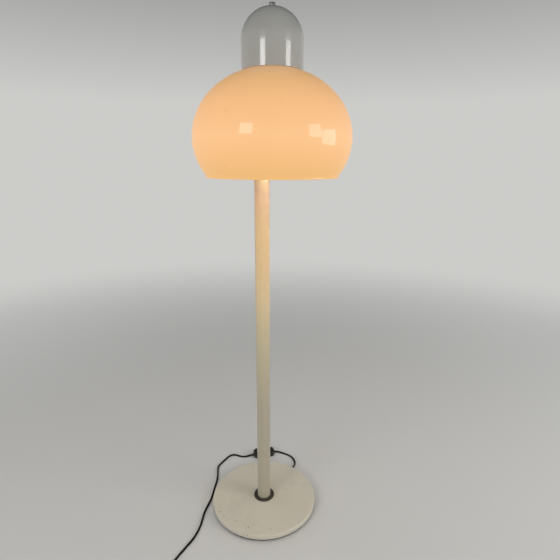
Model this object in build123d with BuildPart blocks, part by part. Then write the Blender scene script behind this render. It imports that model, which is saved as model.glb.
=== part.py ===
from build123d import *
import math
import os

# A mushroom floor lamp: a lacquered disc base, a tube pole, and an opal bowl shade under a
# bullet-shaped cap. The lampholder hangs base-up on the head's own axis, so the pole stands
# beside it and behind it. Millimetres, +Z up, the origin on the floor under the pole's axis,
# +X to the viewer's right and -Y towards the viewer.

# ---- Driving dimensions: base ----
BASE_RADIUS = 140.0
COVER_HEIGHT = 12.0
COVER_SHEET = 1.5
COVER_EDGE = 3.0
FELT_THICKNESS = 1.0
FELT_INSET = 1.5
PLINTH_HEIGHT = 5.0
PLINTH_SET_IN = 2.5
PLINTH_WIDTH = 20.0
PLINTH_SCREW_COUNT = 4
WEIGHT_SIDE_GAP = 1.0
NUT_POCKET_DEPTH = 6.0
NUT_POCKET_RADIUS = 13.0
FOOT_RING_RADIUS = 27.5
FOOT_RING_HEIGHT = 3.0
FOOT_RING_EDGE = 1.5

# ---- Driving dimensions: pole ----
POLE_RADIUS = 17.5
POLE_WALL = 1.5
POLE_LENGTH = 1060.0
FOOT_PLUG_LENGTH = 22.0
TOP_PLUG_LENGTH = 18.0
STUD_RADIUS = 4.0
STUD_LENGTH = 15.0

# ---- Driving dimensions: head ----
HEAD_X = 23.0
HEAD_Y = -45.5
CARRIER_RADIUS = 70.0
CARRIER_SHEET = 2.0
CARRIER_VENT_COUNT = 5
CARRIER_VENT_RADIUS = 5.0
CARRIER_VENT_CIRCLE = 38.0
CARRIER_VENT_ARC = 240.0
GASKET_SCREW_ROOM = 9.0
GASKET_EDGE = 2.0
SHADE_RADIUS = 168.0
SHADE_RISE = 141.0
SHADE_WALL = 3.0
SHADE_DROP = 79.0
SHADE_LIP_WIDTH = 6.7
SHADE_LIP_HEIGHT = 4.0
SHADE_LIP_EDGE = 1.0
SHADE_NECK_RADIUS = 56.0
CAP_RADIUS = 63.6
CAP_WALL = 1.5
CAP_SIDE = 56.0
CAP_DOME = 62.0
CAP_DOME_STEPS = 8
CAP_LAND_RADIUS = 6.0
BRIDGE_SPAN = 44.0
BRIDGE_RISE = 28.0
BRIDGE_WIDTH = 14.0
BRIDGE_SHEET = 2.0
BRIDGE_FOOT = 12.0
ROD_RADIUS = 3.0
ROD_NUT_HEIGHT = 5.0
FINIAL_RADIUS = 6.5
FINIAL_HEIGHT = 6.5
FINIAL_GROOVES = 18
FINIAL_GROOVE_RADIUS = 0.45
FINIAL_BORE_DEPTH = 4.5
FINIAL_EDGE = 1.6
WASHER_THICKNESS = 0.8

# ---- Driving dimensions: lampholder and bulb ----
NIPPLE_RADIUS = 5.0
NIPPLE_WALL = 1.3
NIPPLE_NUT_HEIGHT = 4.0
NIPPLE_RISE = 10.0
NIPPLE_GRIP = 10.0
HOLDER_DROP = 6.0
HOLDER_RADIUS = 20.0
HOLDER_LENGTH = 60.0
HOLDER_WALL = 2.5
HOLDER_NECK_RADIUS = 9.0
HOLDER_SHOULDER = 22.0
SOCKET_DEPTH = 28.0
SOCKET_RADIUS = 13.35
SOCKET_SHEET = 0.5
INSERT_THICKNESS = 6.0
CONTACT_HEIGHT = 1.0
BULB_RADIUS = 30.0
BULB_LENGTH = 105.0
BULB_CAP_RADIUS = 13.0
BULB_CAP_LENGTH = 26.0
BULB_WALL = 0.9
BULB_CONTACT_RADIUS = 4.5
BULB_CONTACT_HEIGHT = 3.0

# ---- Driving dimensions: lead, cord, switch and plug ----
LEAD_RADIUS = 2.3
LEAD_OFFSET = 11.0
LEAD_BEND = 11.0
LEAD_STRAIGHT = 5.0
LEAD_ARCH = 20.0
LEAD_ARCH_BEND = 12.0
LEAD_SETTLE = 80.0
EXIT_ANGLE = 54.9
BUSH_WIDTH = 9.4
BUSH_TAIL = 17.5
CORD_RADIUS = 2.75
CORD_ARC_SHARE = 0.45
CORD_LEAD_OUT = 7.5
CLAMP_INSET = 22.0
CLAMP_LENGTH = 24.0
CLAMP_WIDTH = 8.0
CLAMP_HEIGHT = 3.6
CLAMP_SCREW_INSET = 4.0
SWITCH_X = 0.5
SWITCH_Y = 195.5
SWITCH_TURN = 11.0
SWITCH_LENGTH = 66.0
SWITCH_WIDTH = 35.0
SWITCH_CORNER = 13.0
SWITCH_HEIGHT = 15.0
SWITCH_WALL = 2.0
SWITCH_EDGE = 3.5
SWITCH_BASE_INSET = 1.0
BUTTON_RADIUS = 11.0
BUTTON_STAND = 3.5
BUTTON_TRAVEL = 3.5
BUTTON_FLANGE = 1.6
BUTTON_FLANGE_REACH = 1.6
BUTTON_EDGE = 1.2
BUTTON_POCKET_RADIUS = 6.5
BLOCK_LENGTH = 30.0
BLOCK_WIDTH = 14.0
SPRING_RADIUS = 4.0
SPRING_WIRE_RADIUS = 0.4
SPRING_TURNS = 5
COIL_X = -200.0
COIL_Y = -268.0
COIL_RADIUS = 31.0
COIL_TURNS_WIDE = 3
COIL_LAYERS = 2
TIE_WIDTH = 8.0
TIE_SHEET = 0.8
PLUG_WIDTH = 35.3
PLUG_THICKNESS = 13.7
PLUG_LENGTH = 36.0
PLUG_TAIL = 20.0
PLUG_REAR_WIDTH = 16.0
PLUG_SHOULDER = 16.0
PLUG_EDGE = 1.5
PIN_RADIUS = 2.0
PIN_LENGTH = 19.0
PIN_PITCH = 18.6
PLUG_GAP = 24.0

# ---- Clearances ----
FIT = 0.05           # radial play of a shaft or a pressed piece in its hole
SEAT = 0.2           # play between a formed edge and the curved face it bears on
HOLE_PLAY = 0.3      # radial play of a screw or a lead in a drilled hole
SLIDE_PLAY = 0.3     # play round a piece that moves
SLOT_PLAY = 1.2      # side play of the lead in its open slot
SCREW_END_GAP = 1.0  # room past a screw's end in a blind hole

# ---- Levels and places worked out from the driving dimensions ----
plinth_top = FELT_THICKNESS + PLINTH_HEIGHT
cover_top = plinth_top + COVER_HEIGHT
weight_top = cover_top - COVER_SHEET
weight_radius = BASE_RADIUS - COVER_SHEET - WEIGHT_SIDE_GAP
pole_top = cover_top + POLE_LENGTH
pole_bore = POLE_RADIUS - POLE_WALL
carrier_top = pole_top + CARRIER_SHEET
pocket_top = plinth_top + NUT_POCKET_DEPTH
plinth_radius = BASE_RADIUS - PLINTH_SET_IN
plinth_bore = plinth_radius - PLINTH_WIDTH
clamp_radius = plinth_bore - CLAMP_INSET
head_angle = math.degrees(math.atan2(HEAD_Y, HEAD_X))


def shell_height(radius, half_width, half_height):
    """Height of the shade's ellipse above its widest level, at a distance from its axis."""
    return half_height * math.sqrt(1 - (radius / half_width) ** 2)


inner_radius = SHADE_RADIUS - SHADE_WALL
inner_rise = SHADE_RISE - SHADE_WALL
shade_mid = carrier_top + GASKET_EDGE + SEAT - shell_height(CARRIER_RADIUS, inner_radius, inner_rise)
shade_rim = shade_mid - SHADE_DROP
cap_bore = CAP_RADIUS - CAP_WALL
cap_rim = shade_mid + shell_height(cap_bore, SHADE_RADIUS, SHADE_RISE) + SEAT
dome_base = cap_rim + CAP_SIDE
cap_land = dome_base + CAP_DOME * math.sqrt(1 - (CAP_LAND_RADIUS / CAP_RADIUS) ** 2)
bridge_top = carrier_top + BRIDGE_RISE
finial_seat = cap_land + WASHER_THICKNESS
rod_top = finial_seat + FINIAL_BORE_DEPTH - SLIDE_PLAY
rod_bottom = bridge_top - BRIDGE_SHEET - ROD_NUT_HEIGHT
holder_top = pole_top - HOLDER_DROP
holder_bottom = holder_top - HOLDER_LENGTH
insert_bottom = holder_bottom + SOCKET_DEPTH
bulb_top = insert_bottom - CONTACT_HEIGHT - SLIDE_PLAY
bulb_tip = bulb_top - BULB_LENGTH
bulb_mid = bulb_tip + BULB_RADIUS
bulb_neck = bulb_top - BULB_CAP_LENGTH

head_plane = Plane((HEAD_X, HEAD_Y, 0))
head_section = Plane((HEAD_X, HEAD_Y, 0), x_dir=(1, 0, 0), z_dir=(0, -1, 0))
head_axis = Axis((HEAD_X, HEAD_Y, 0), (0, 0, 1))
across_direction = Vector(1, 0, 0).rotate(Axis.Z, head_angle + 90)
across_head = Plane((HEAD_X, HEAD_Y, 0), x_dir=across_direction)
exit_direction = Vector(1, 0, 0).rotate(Axis.Z, EXIT_ANGLE)
exit_plane = Plane((0, 0, 0), x_dir=exit_direction)

# ---- Base cover: one pressed and lacquered steel dish, turned over ----
with BuildPart() as base_cover:
    with BuildSketch(Plane.XY.offset(plinth_top)):
        Circle(BASE_RADIUS)
    extrude(amount=COVER_HEIGHT)
    fillet(base_cover.faces().sort_by(Axis.Z)[-1].edges(), COVER_EDGE)
    with BuildSketch(Plane.XY.offset(plinth_top)):
        Circle(BASE_RADIUS - COVER_SHEET)
    extrude(amount=COVER_HEIGHT - COVER_SHEET, mode=Mode.SUBTRACT)
    with BuildSketch(exit_plane.offset(cover_top)):
        Circle(STUD_RADIUS + HOLE_PLAY)
        with Locations((LEAD_OFFSET, 0)):
            Circle(LEAD_RADIUS + HOLE_PLAY)
    extrude(amount=-COVER_SHEET, mode=Mode.SUBTRACT)
base_cover.part.label = "base_cover"

# ---- Base weight: an iron casting, with a nut pocket, a lead slot and screw holes below ----
screw_circle = plinth_radius - PLINTH_WIDTH / 2
screw_radius = 2.0
screw_head_radius = 3.8
screw_head_height = 1.6
screw_depth = 6.0
clamp_screw_radius = 1.5
clamp_screw_reach = CLAMP_LENGTH / 2 - CLAMP_SCREW_INSET
clamp_screw_places = ((clamp_radius, -clamp_screw_reach), (clamp_radius, clamp_screw_reach))
slot_length = 40.0
slot_width = 2 * (LEAD_RADIUS + SLOT_PLAY)
lead_level = plinth_top
with BuildPart() as base_weight:
    with BuildSketch(Plane.XY.offset(plinth_top)):
        Circle(weight_radius)
    extrude(amount=weight_top - plinth_top)
    chamfer(base_weight.faces().sort_by(Axis.Z)[-1].edges(), COVER_EDGE)
    with BuildSketch(Plane.XY.offset(plinth_top)):
        Circle(NUT_POCKET_RADIUS)
    extrude(amount=NUT_POCKET_DEPTH, mode=Mode.SUBTRACT)
    with BuildSketch(Plane.XY.offset(plinth_top)):
        Circle(STUD_RADIUS + HOLE_PLAY)
    extrude(amount=weight_top - plinth_top, mode=Mode.SUBTRACT)
    with BuildSketch(exit_plane.offset(plinth_top)):
        with Locations((LEAD_OFFSET - LEAD_RADIUS - HOLE_PLAY, 0)):
            Rectangle(slot_length, slot_width, align=(Align.MIN, Align.CENTER))
    extrude(amount=weight_top - plinth_top, mode=Mode.SUBTRACT)
    with BuildSketch(exit_plane.offset(plinth_top)):
        Rectangle(BASE_RADIUS, slot_width, align=(Align.MIN, Align.CENTER))
    extrude(amount=2 * LEAD_RADIUS, mode=Mode.SUBTRACT)
    with BuildSketch(Plane.XY.offset(plinth_top)):
        with PolarLocations(screw_circle, PLINTH_SCREW_COUNT):
            Circle(screw_radius + FIT)
    extrude(amount=screw_depth, mode=Mode.SUBTRACT)
    with BuildSketch(exit_plane.offset(plinth_top)):
        with Locations(*clamp_screw_places):
            Circle(clamp_screw_radius + FIT)
    extrude(amount=screw_depth, mode=Mode.SUBTRACT)
base_weight.part.label = "base_weight"

# ---- Plinth: a black ring under the weight that lifts the cover's edge off the floor ----
bush_slot = BUSH_WIDTH + 2 * FIT
counterbore = PLINTH_HEIGHT / 2
with BuildPart() as base_plinth:
    with BuildSketch(Plane.XY.offset(FELT_THICKNESS)):
        Circle(plinth_radius)
        Circle(plinth_bore, mode=Mode.SUBTRACT)
    extrude(amount=PLINTH_HEIGHT)
    with BuildSketch(exit_plane.offset(FELT_THICKNESS)):
        with Locations((screw_circle, 0)):
            Rectangle(2 * PLINTH_WIDTH, bush_slot)
    extrude(amount=PLINTH_HEIGHT, mode=Mode.SUBTRACT)
    with BuildSketch(Plane.XY.offset(FELT_THICKNESS)):
        with PolarLocations(screw_circle, PLINTH_SCREW_COUNT):
            Circle(screw_head_radius + HOLE_PLAY)
    extrude(amount=counterbore, mode=Mode.SUBTRACT)
    with BuildSketch(Plane.XY.offset(FELT_THICKNESS)):
        with PolarLocations(screw_circle, PLINTH_SCREW_COUNT):
            Circle(screw_radius + HOLE_PLAY)
    extrude(amount=PLINTH_HEIGHT, mode=Mode.SUBTRACT)
base_plinth.part.label = "base_plinth"

# ---- Plinth screws: pan heads sunk in the plinth, shanks in the weight ----
head_level = FELT_THICKNESS + counterbore
with BuildPart() as plinth_screws:
    with BuildSketch(Plane.XY.offset(head_level)):
        with PolarLocations(screw_circle, PLINTH_SCREW_COUNT):
            Circle(screw_head_radius)
    extrude(amount=-screw_head_height)
    with BuildSketch(Plane.XY.offset(head_level)):
        with PolarLocations(screw_circle, PLINTH_SCREW_COUNT):
            Circle(screw_radius)
    extrude(amount=plinth_top + screw_depth - SCREW_END_GAP - head_level)
plinth_screws.part.label = "plinth_screws"

# ---- Felt: a full disc glued under the plinth, the face that the lamp rests on ----
with BuildPart() as base_felt:
    with BuildSketch():
        Circle(plinth_radius - FELT_INSET)
    extrude(amount=FELT_THICKNESS)
base_felt.part.label = "base_felt"

# ---- Pole foot ring: a dark collar that covers the joint of pole and base ----
with BuildPart() as foot_ring:
    with BuildSketch(Plane.XY.offset(cover_top)):
        Circle(FOOT_RING_RADIUS)
        Circle(POLE_RADIUS + FIT, mode=Mode.SUBTRACT)
    extrude(amount=FOOT_RING_HEIGHT)
    fillet(foot_ring.faces().sort_by(Axis.Z)[-1].edges().sort_by(SortBy.RADIUS)[-1], FOOT_RING_EDGE)
foot_ring.part.label = "foot_ring"

# ---- Pole: a drawn steel tube, lacquered ----
with BuildPart() as pole:
    with BuildSketch(Plane.XY.offset(cover_top)):
        Circle(POLE_RADIUS)
        Circle(pole_bore, mode=Mode.SUBTRACT)
    extrude(amount=POLE_LENGTH)
pole.part.label = "pole"

# ---- Foot plug: pressed and welded into the pole, with the stud that holds the base ----
stud_chamfer = 0.8
with BuildPart() as foot_plug:
    with BuildSketch(Plane.XY.offset(cover_top)):
        Circle(pole_bore - FIT)
    extrude(amount=FOOT_PLUG_LENGTH)
    with BuildSketch(Plane.XY.offset(cover_top)):
        Circle(STUD_RADIUS)
    extrude(amount=-STUD_LENGTH)
    chamfer(foot_plug.faces().sort_by(Axis.Z)[0].edges(), stud_chamfer)
    with BuildSketch(exit_plane.offset(cover_top)):
        with Locations((LEAD_OFFSET, 0)):
            Circle(LEAD_RADIUS + HOLE_PLAY)
    extrude(amount=FOOT_PLUG_LENGTH, mode=Mode.SUBTRACT)
foot_plug.part.label = "foot_plug"

# ---- Washer and nut on the stud, up in the weight's pocket ----
stud_washer_radius = 8.0
stud_washer_thickness = 1.6
stud_nut_height = 5.5
stud_nut_corner = 7.5
washer_bottom = pocket_top - stud_washer_thickness
with BuildPart() as base_washer:
    with BuildSketch(Plane.XY.offset(washer_bottom)):
        Circle(stud_washer_radius)
        Circle(STUD_RADIUS + HOLE_PLAY, mode=Mode.SUBTRACT)
    extrude(amount=stud_washer_thickness)
base_washer.part.label = "base_washer"

with BuildPart() as base_nut:
    with BuildSketch(Plane.XY.offset(washer_bottom)):
        RegularPolygon(stud_nut_corner, 6)
        Circle(STUD_RADIUS + FIT, mode=Mode.SUBTRACT)
    extrude(amount=-stud_nut_height)
base_nut.part.label = "base_nut"

# ---- Cord bush: a tapered strain relief, flat in the plinth's slot and round at its tip ----
bush_tip = plinth_radius + BUSH_TAIL
cord_level = CORD_RADIUS + FIT
slot_level = FELT_THICKNESS + PLINTH_HEIGHT / 2
bush_height = PLINTH_HEIGHT - SEAT
bush_corner = 1.6
with BuildPart() as cord_bush:
    with BuildSketch(Plane(exit_direction * plinth_bore + Vector(0, 0, slot_level),
                           x_dir=(0, 0, 1), z_dir=exit_direction)):
        RectangleRounded(bush_height, BUSH_WIDTH, bush_corner)
    extrude(amount=PLINTH_WIDTH)
    with BuildSketch(Plane(exit_direction * plinth_radius + Vector(0, 0, slot_level),
                           x_dir=(0, 0, 1), z_dir=exit_direction)):
        RectangleRounded(bush_height, BUSH_WIDTH, bush_corner)
    with BuildSketch(Plane(exit_direction * bush_tip + Vector(0, 0, cord_level),
                           x_dir=(0, 0, 1), z_dir=exit_direction)):
        RectangleRounded(2 * CORD_RADIUS, 2 * CORD_RADIUS + 2 * FIT, CORD_RADIUS - FIT)
    loft()
cord_bush.part.label = "cord_bush"

# ---- Clamp: a saddle that holds the lead in the weight's groove, with its two screws ----
clamp_bottom = plinth_top - CLAMP_HEIGHT
clamp_corner = 2.0
clamp_head_height = 1.2
clamp_head_radius = 2.6
with BuildPart() as cord_clamp:
    with BuildSketch(exit_plane.offset(clamp_bottom)):
        with Locations((clamp_radius, 0)):
            RectangleRounded(CLAMP_WIDTH, CLAMP_LENGTH, clamp_corner)
        with Locations(*clamp_screw_places):
            Circle(clamp_screw_radius + HOLE_PLAY, mode=Mode.SUBTRACT)
    extrude(amount=plinth_top - clamp_bottom)
    with BuildSketch(Plane(exit_direction * (clamp_radius - CLAMP_WIDTH) + Vector(0, 0, lead_level),
                           x_dir=(0, 0, 1), z_dir=exit_direction)):
        Circle(LEAD_RADIUS + FIT)
    extrude(amount=2 * CLAMP_WIDTH, mode=Mode.SUBTRACT)
cord_clamp.part.label = "cord_clamp"

with BuildPart() as clamp_screws:
    with BuildSketch(exit_plane.offset(clamp_bottom)):
        with Locations(*clamp_screw_places):
            Circle(clamp_head_radius)
    extrude(amount=-clamp_head_height)
    with BuildSketch(exit_plane.offset(clamp_bottom)):
        with Locations(*clamp_screw_places):
            Circle(clamp_screw_radius)
    extrude(amount=plinth_top + screw_depth - SCREW_END_GAP - clamp_bottom)
clamp_screws.part.label = "clamp_screws"

# ---- Top plug: pressed into the pole's top, drilled for the lead and two carrier screws ----
top_screw_radius = 2.0
top_screw_reach = 10.0
top_screw_head_radius = 3.8
top_screw_head_height = 2.4
top_screw_depth = 12.0
pole_top_plane = Plane((0, 0, pole_top), x_dir=across_direction)
top_screw_places = ((-top_screw_reach, 0), (top_screw_reach, 0))
with BuildPart() as top_plug:
    with BuildSketch(pole_top_plane):
        Circle(pole_bore - FIT)
        Circle(LEAD_RADIUS + 2 * HOLE_PLAY, mode=Mode.SUBTRACT)
    extrude(amount=-TOP_PLUG_LENGTH)
    with BuildSketch(pole_top_plane):
        with Locations(*top_screw_places):
            Circle(top_screw_radius + FIT)
    extrude(amount=-top_screw_depth, mode=Mode.SUBTRACT)
top_plug.part.label = "top_plug"

# ---- Carrier: the steel plate on the pole's top that carries shade, holder and cap ----
bridge_screw_radius = 2.0
bridge_screw_reach = BRIDGE_SPAN / 2 + BRIDGE_FOOT / 2
bridge_screw_places = ((-bridge_screw_reach, 0), (bridge_screw_reach, 0))
with BuildPart() as head_carrier:
    with BuildSketch(head_plane.offset(pole_top)):
        Circle(CARRIER_RADIUS)
        Circle(NIPPLE_RADIUS + HOLE_PLAY, mode=Mode.SUBTRACT)
        with PolarLocations(CARRIER_VENT_CIRCLE, CARRIER_VENT_COUNT,
                            start_angle=head_angle - CARRIER_VENT_ARC / 2,
                            angular_range=CARRIER_VENT_ARC, endpoint=True):
            Circle(CARRIER_VENT_RADIUS, mode=Mode.SUBTRACT)
    extrude(amount=CARRIER_SHEET)
    with BuildSketch(pole_top_plane):
        Circle(LEAD_RADIUS + 2 * HOLE_PLAY)
        with Locations(*top_screw_places):
            Circle(top_screw_radius + HOLE_PLAY)
    extrude(amount=CARRIER_SHEET, mode=Mode.SUBTRACT)
    with BuildSketch(across_head.offset(pole_top)):
        with Locations(*bridge_screw_places):
            Circle(bridge_screw_radius + FIT)
    extrude(amount=CARRIER_SHEET, mode=Mode.SUBTRACT)
head_carrier.part.label = "head_carrier"

with BuildPart() as carrier_screws:
    with BuildSketch(pole_top_plane.offset(CARRIER_SHEET)):
        with Locations(*top_screw_places):
            Circle(top_screw_head_radius)
    extrude(amount=top_screw_head_height)
    with BuildSketch(pole_top_plane.offset(CARRIER_SHEET)):
        with Locations(*top_screw_places):
            Circle(top_screw_radius)
    extrude(amount=SCREW_END_GAP - top_screw_depth)
carrier_screws.part.label = "carrier_screws"

# ---- Gasket: a rubber ring on the carrier's rim, coned to the shade's inner face ----
gasket_bore = math.hypot(HEAD_X, HEAD_Y) + GASKET_SCREW_ROOM
gasket_top = shade_mid + shell_height(gasket_bore, inner_radius, inner_rise) - SEAT
gasket_edge_top = shade_mid + shell_height(CARRIER_RADIUS, inner_radius, inner_rise) - SEAT
with BuildPart() as shade_gasket:
    with BuildSketch(head_section):
        with BuildLine():
            Polyline((gasket_bore, carrier_top), (CARRIER_RADIUS, carrier_top),
                     (CARRIER_RADIUS, gasket_edge_top), (gasket_bore, gasket_top), close=True)
        make_face()
    revolve(axis=head_axis)
shade_gasket.part.label = "shade_gasket"

# ---- Shade: a blown opal acrylic bowl, part of an ellipsoid, with a thickened lip ----
lip_inner = inner_radius * math.sqrt(1 - (SHADE_DROP / inner_rise) ** 2)
with BuildPart() as shade:
    with BuildSketch(head_section):
        with Locations((0, shade_mid)):
            Ellipse(SHADE_RADIUS, SHADE_RISE)
        with Locations((SHADE_NECK_RADIUS, shade_rim)):
            Rectangle(SHADE_RADIUS, SHADE_DROP + SHADE_RISE, align=Align.MIN, mode=Mode.INTERSECT)
        with Locations((lip_inner, shade_rim)):
            Rectangle(SHADE_LIP_WIDTH, SHADE_LIP_HEIGHT, align=Align.MIN)
        with Locations((0, shade_mid)):
            Ellipse(inner_radius, inner_rise, mode=Mode.SUBTRACT)
    revolve(axis=head_axis)
    fillet(shade.edges().group_by(Axis.Z)[0], SHADE_LIP_EDGE)
shade.part.label = "shade"


# ---- Cap: a spun steel bullet, lacquered, open below, drilled at its top for the rod ----
def dome_points(radius, rise):
    """Points round a quarter of the dome's ellipse, from the cap's side up to the head's axis."""
    turns = [math.pi / 2 * step / CAP_DOME_STEPS for step in range(CAP_DOME_STEPS + 1)]
    return [(radius * math.cos(turn), dome_base + rise * math.sin(turn)) for turn in turns]


with BuildPart() as cap:
    for inset, cap_mode in ((0, Mode.ADD), (CAP_WALL, Mode.SUBTRACT)):
        with BuildSketch(head_section):
            with BuildLine():
                Spline(*dome_points(CAP_RADIUS - inset, CAP_DOME - inset), tangents=((0, 1), (-1, 0)))
                Polyline((0, dome_base + CAP_DOME - inset), (0, cap_rim), (CAP_RADIUS - inset, cap_rim),
                         (CAP_RADIUS - inset, dome_base))
            make_face()
        revolve(axis=head_axis, mode=cap_mode)
    with BuildSketch(head_plane.offset(cap_land)):
        Circle(CAP_RADIUS)
    extrude(amount=CAP_DOME, mode=Mode.SUBTRACT)
    with BuildSketch(head_plane.offset(cap_land)):
        Circle(ROD_RADIUS + HOLE_PLAY)
    extrude(amount=-CAP_DOME, mode=Mode.SUBTRACT)
cap.part.label = "cap"

# ---- Bridge: a strap over the holder's nipple that holds the cap's rod on the head's axis ----
bridge_profile = Plane((HEAD_X, HEAD_Y, 0), x_dir=across_direction,
                       z_dir=across_direction.cross(Vector(0, 0, 1)))
bridge_half = BRIDGE_SPAN / 2
with BuildPart() as bridge_strap:
    with BuildSketch(bridge_profile):
        with Locations((0, carrier_top)):
            Rectangle(BRIDGE_SPAN, BRIDGE_RISE, align=(Align.CENTER, Align.MIN))
            Rectangle(BRIDGE_SPAN - 2 * BRIDGE_SHEET, BRIDGE_RISE - BRIDGE_SHEET,
                      align=(Align.CENTER, Align.MIN), mode=Mode.SUBTRACT)
        with Locations((bridge_half - BRIDGE_SHEET, carrier_top)):
            Rectangle(BRIDGE_FOOT + BRIDGE_SHEET, BRIDGE_SHEET, align=Align.MIN)
        with Locations((BRIDGE_SHEET - bridge_half, carrier_top)):
            Rectangle(BRIDGE_FOOT + BRIDGE_SHEET, BRIDGE_SHEET, align=(Align.MAX, Align.MIN))
    extrude(amount=BRIDGE_WIDTH / 2, both=True)
    with BuildSketch(across_head.offset(carrier_top)):
        with Locations(*bridge_screw_places):
            Circle(bridge_screw_radius + HOLE_PLAY)
    extrude(amount=BRIDGE_SHEET, mode=Mode.SUBTRACT)
    with BuildSketch(head_plane.offset(bridge_top)):
        Circle(ROD_RADIUS + HOLE_PLAY)
    extrude(amount=-BRIDGE_SHEET, mode=Mode.SUBTRACT)
bridge_strap.part.label = "bridge_strap"

bridge_head_radius = 3.8
bridge_head_height = 2.4
bridge_screw_end = 2.0
with BuildPart() as bridge_screws:
    with BuildSketch(across_head.offset(carrier_top + BRIDGE_SHEET)):
        with Locations(*bridge_screw_places):
            Circle(bridge_head_radius)
    extrude(amount=bridge_head_height)
    with BuildSketch(across_head.offset(carrier_top + BRIDGE_SHEET)):
        with Locations(*bridge_screw_places):
            Circle(bridge_screw_radius)
    extrude(amount=-BRIDGE_SHEET - CARRIER_SHEET - bridge_screw_end)
bridge_screws.part.label = "bridge_screws"

# ---- Cap rod: threaded steel, locked to the bridge by two nuts ----
rod_nut_corner = 5.8
rod_chamfer = 0.5
with BuildPart() as cap_rod:
    with BuildSketch(head_plane.offset(rod_bottom)):
        Circle(ROD_RADIUS)
    extrude(amount=rod_top - rod_bottom)
    chamfer(cap_rod.edges().group_by(Axis.Z)[-1], rod_chamfer)
cap_rod.part.label = "cap_rod"

with BuildPart() as rod_nuts:
    for nut_level in (bridge_top, bridge_top - BRIDGE_SHEET - ROD_NUT_HEIGHT):
        with BuildSketch(head_plane.offset(nut_level)):
            RegularPolygon(rod_nut_corner, 6)
            Circle(ROD_RADIUS + FIT, mode=Mode.SUBTRACT)
        extrude(amount=ROD_NUT_HEIGHT)
rod_nuts.part.label = "rod_nuts"

# ---- Finial: a small grooved chrome nut on a washer, which pulls the cap down on the shade ----
with BuildPart() as cap_washer:
    with BuildSketch(head_plane.offset(cap_land)):
        Circle(CAP_LAND_RADIUS - SEAT)
        Circle(ROD_RADIUS + HOLE_PLAY, mode=Mode.SUBTRACT)
    extrude(amount=WASHER_THICKNESS)
cap_washer.part.label = "cap_washer"

with BuildPart() as finial_nut:
    with BuildSketch(head_plane.offset(finial_seat)):
        Circle(FINIAL_RADIUS)
    extrude(amount=FINIAL_HEIGHT)
    fillet(finial_nut.edges().group_by(Axis.Z)[-1], FINIAL_EDGE)
    with BuildSketch(head_plane.offset(finial_seat)):
        with PolarLocations(FINIAL_RADIUS, FINIAL_GROOVES):
            Circle(FINIAL_GROOVE_RADIUS)
    extrude(amount=FINIAL_HEIGHT, mode=Mode.SUBTRACT)
    with BuildSketch(head_plane.offset(finial_seat)):
        Circle(ROD_RADIUS + FIT)
    extrude(amount=FINIAL_BORE_DEPTH, mode=Mode.SUBTRACT)
finial_nut.part.label = "finial_nut"

# ---- Nipple: the hollow threaded tube that hangs the lampholder, with its lock nuts ----
nipple_top = carrier_top + NIPPLE_RISE
nipple_bottom = holder_top - NIPPLE_GRIP
nipple_nut_corner = 8.1
with BuildPart() as holder_nipple:
    with BuildSketch(head_plane.offset(nipple_bottom)):
        Circle(NIPPLE_RADIUS)
        Circle(NIPPLE_RADIUS - NIPPLE_WALL, mode=Mode.SUBTRACT)
    extrude(amount=nipple_top - nipple_bottom)
holder_nipple.part.label = "holder_nipple"

with BuildPart() as nipple_nuts:
    for nut_level in (carrier_top, pole_top - NIPPLE_NUT_HEIGHT):
        with BuildSketch(head_plane.offset(nut_level)):
            RegularPolygon(nipple_nut_corner, 6)
            Circle(NIPPLE_RADIUS + FIT, mode=Mode.SUBTRACT)
        extrude(amount=NIPPLE_NUT_HEIGHT)
nipple_nuts.part.label = "nipple_nuts"

# ---- Lampholder: a black moulded bell, open below ----
holder_bore = HOLDER_RADIUS - HOLDER_WALL
neck_length = 8.0
shoulder_level = holder_top - HOLDER_SHOULDER
wiring_radius = 10.0
wiring_top = shoulder_level + neck_length
insert_top = insert_bottom + INSERT_THICKNESS
with BuildPart() as lampholder:
    with BuildSketch(head_section):
        with BuildLine():
            Polyline((0, holder_bottom), (HOLDER_RADIUS, holder_bottom), (HOLDER_RADIUS, shoulder_level),
                     (HOLDER_NECK_RADIUS, holder_top - neck_length), (HOLDER_NECK_RADIUS, holder_top),
                     (0, holder_top), close=True)
        make_face()
    revolve(axis=head_axis)
    fillet(lampholder.edges().group_by(Axis.Z)[1:3], HOLDER_WALL)
    with BuildSketch(head_plane.offset(holder_bottom)):
        Circle(holder_bore)
    extrude(amount=insert_top - holder_bottom, mode=Mode.SUBTRACT)
    with BuildSketch(head_plane.offset(insert_top)):
        Circle(wiring_radius)
    extrude(amount=wiring_top - insert_top, mode=Mode.SUBTRACT)
    with BuildSketch(head_plane.offset(wiring_top)):
        Circle(NIPPLE_RADIUS + FIT)
    extrude(amount=holder_top - wiring_top, mode=Mode.SUBTRACT)
lampholder.part.label = "lampholder"

# ---- Socket: a ceramic insert, its brass screw shell and the centre contact ----
contact_radius = 3.0
contact_stem_radius = 1.5
with BuildPart() as socket_insert:
    with BuildSketch(head_plane.offset(insert_bottom)):
        Circle(holder_bore - FIT)
        Circle(contact_stem_radius + FIT, mode=Mode.SUBTRACT)
    extrude(amount=INSERT_THICKNESS)
socket_insert.part.label = "socket_insert"

with BuildPart() as socket_shell:
    with BuildSketch(head_plane.offset(holder_bottom + HOLDER_WALL)):
        Circle(SOCKET_RADIUS + SOCKET_SHEET)
        Circle(SOCKET_RADIUS, mode=Mode.SUBTRACT)
    extrude(amount=SOCKET_DEPTH - HOLDER_WALL)
socket_shell.part.label = "socket_shell"

with BuildPart() as socket_contact:
    with BuildSketch(head_plane.offset(insert_bottom)):
        Circle(contact_radius)
    extrude(amount=-CONTACT_HEIGHT)
    with BuildSketch(head_plane.offset(insert_bottom)):
        Circle(contact_stem_radius)
    extrude(amount=INSERT_THICKNESS)
socket_contact.part.label = "socket_contact"

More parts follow.
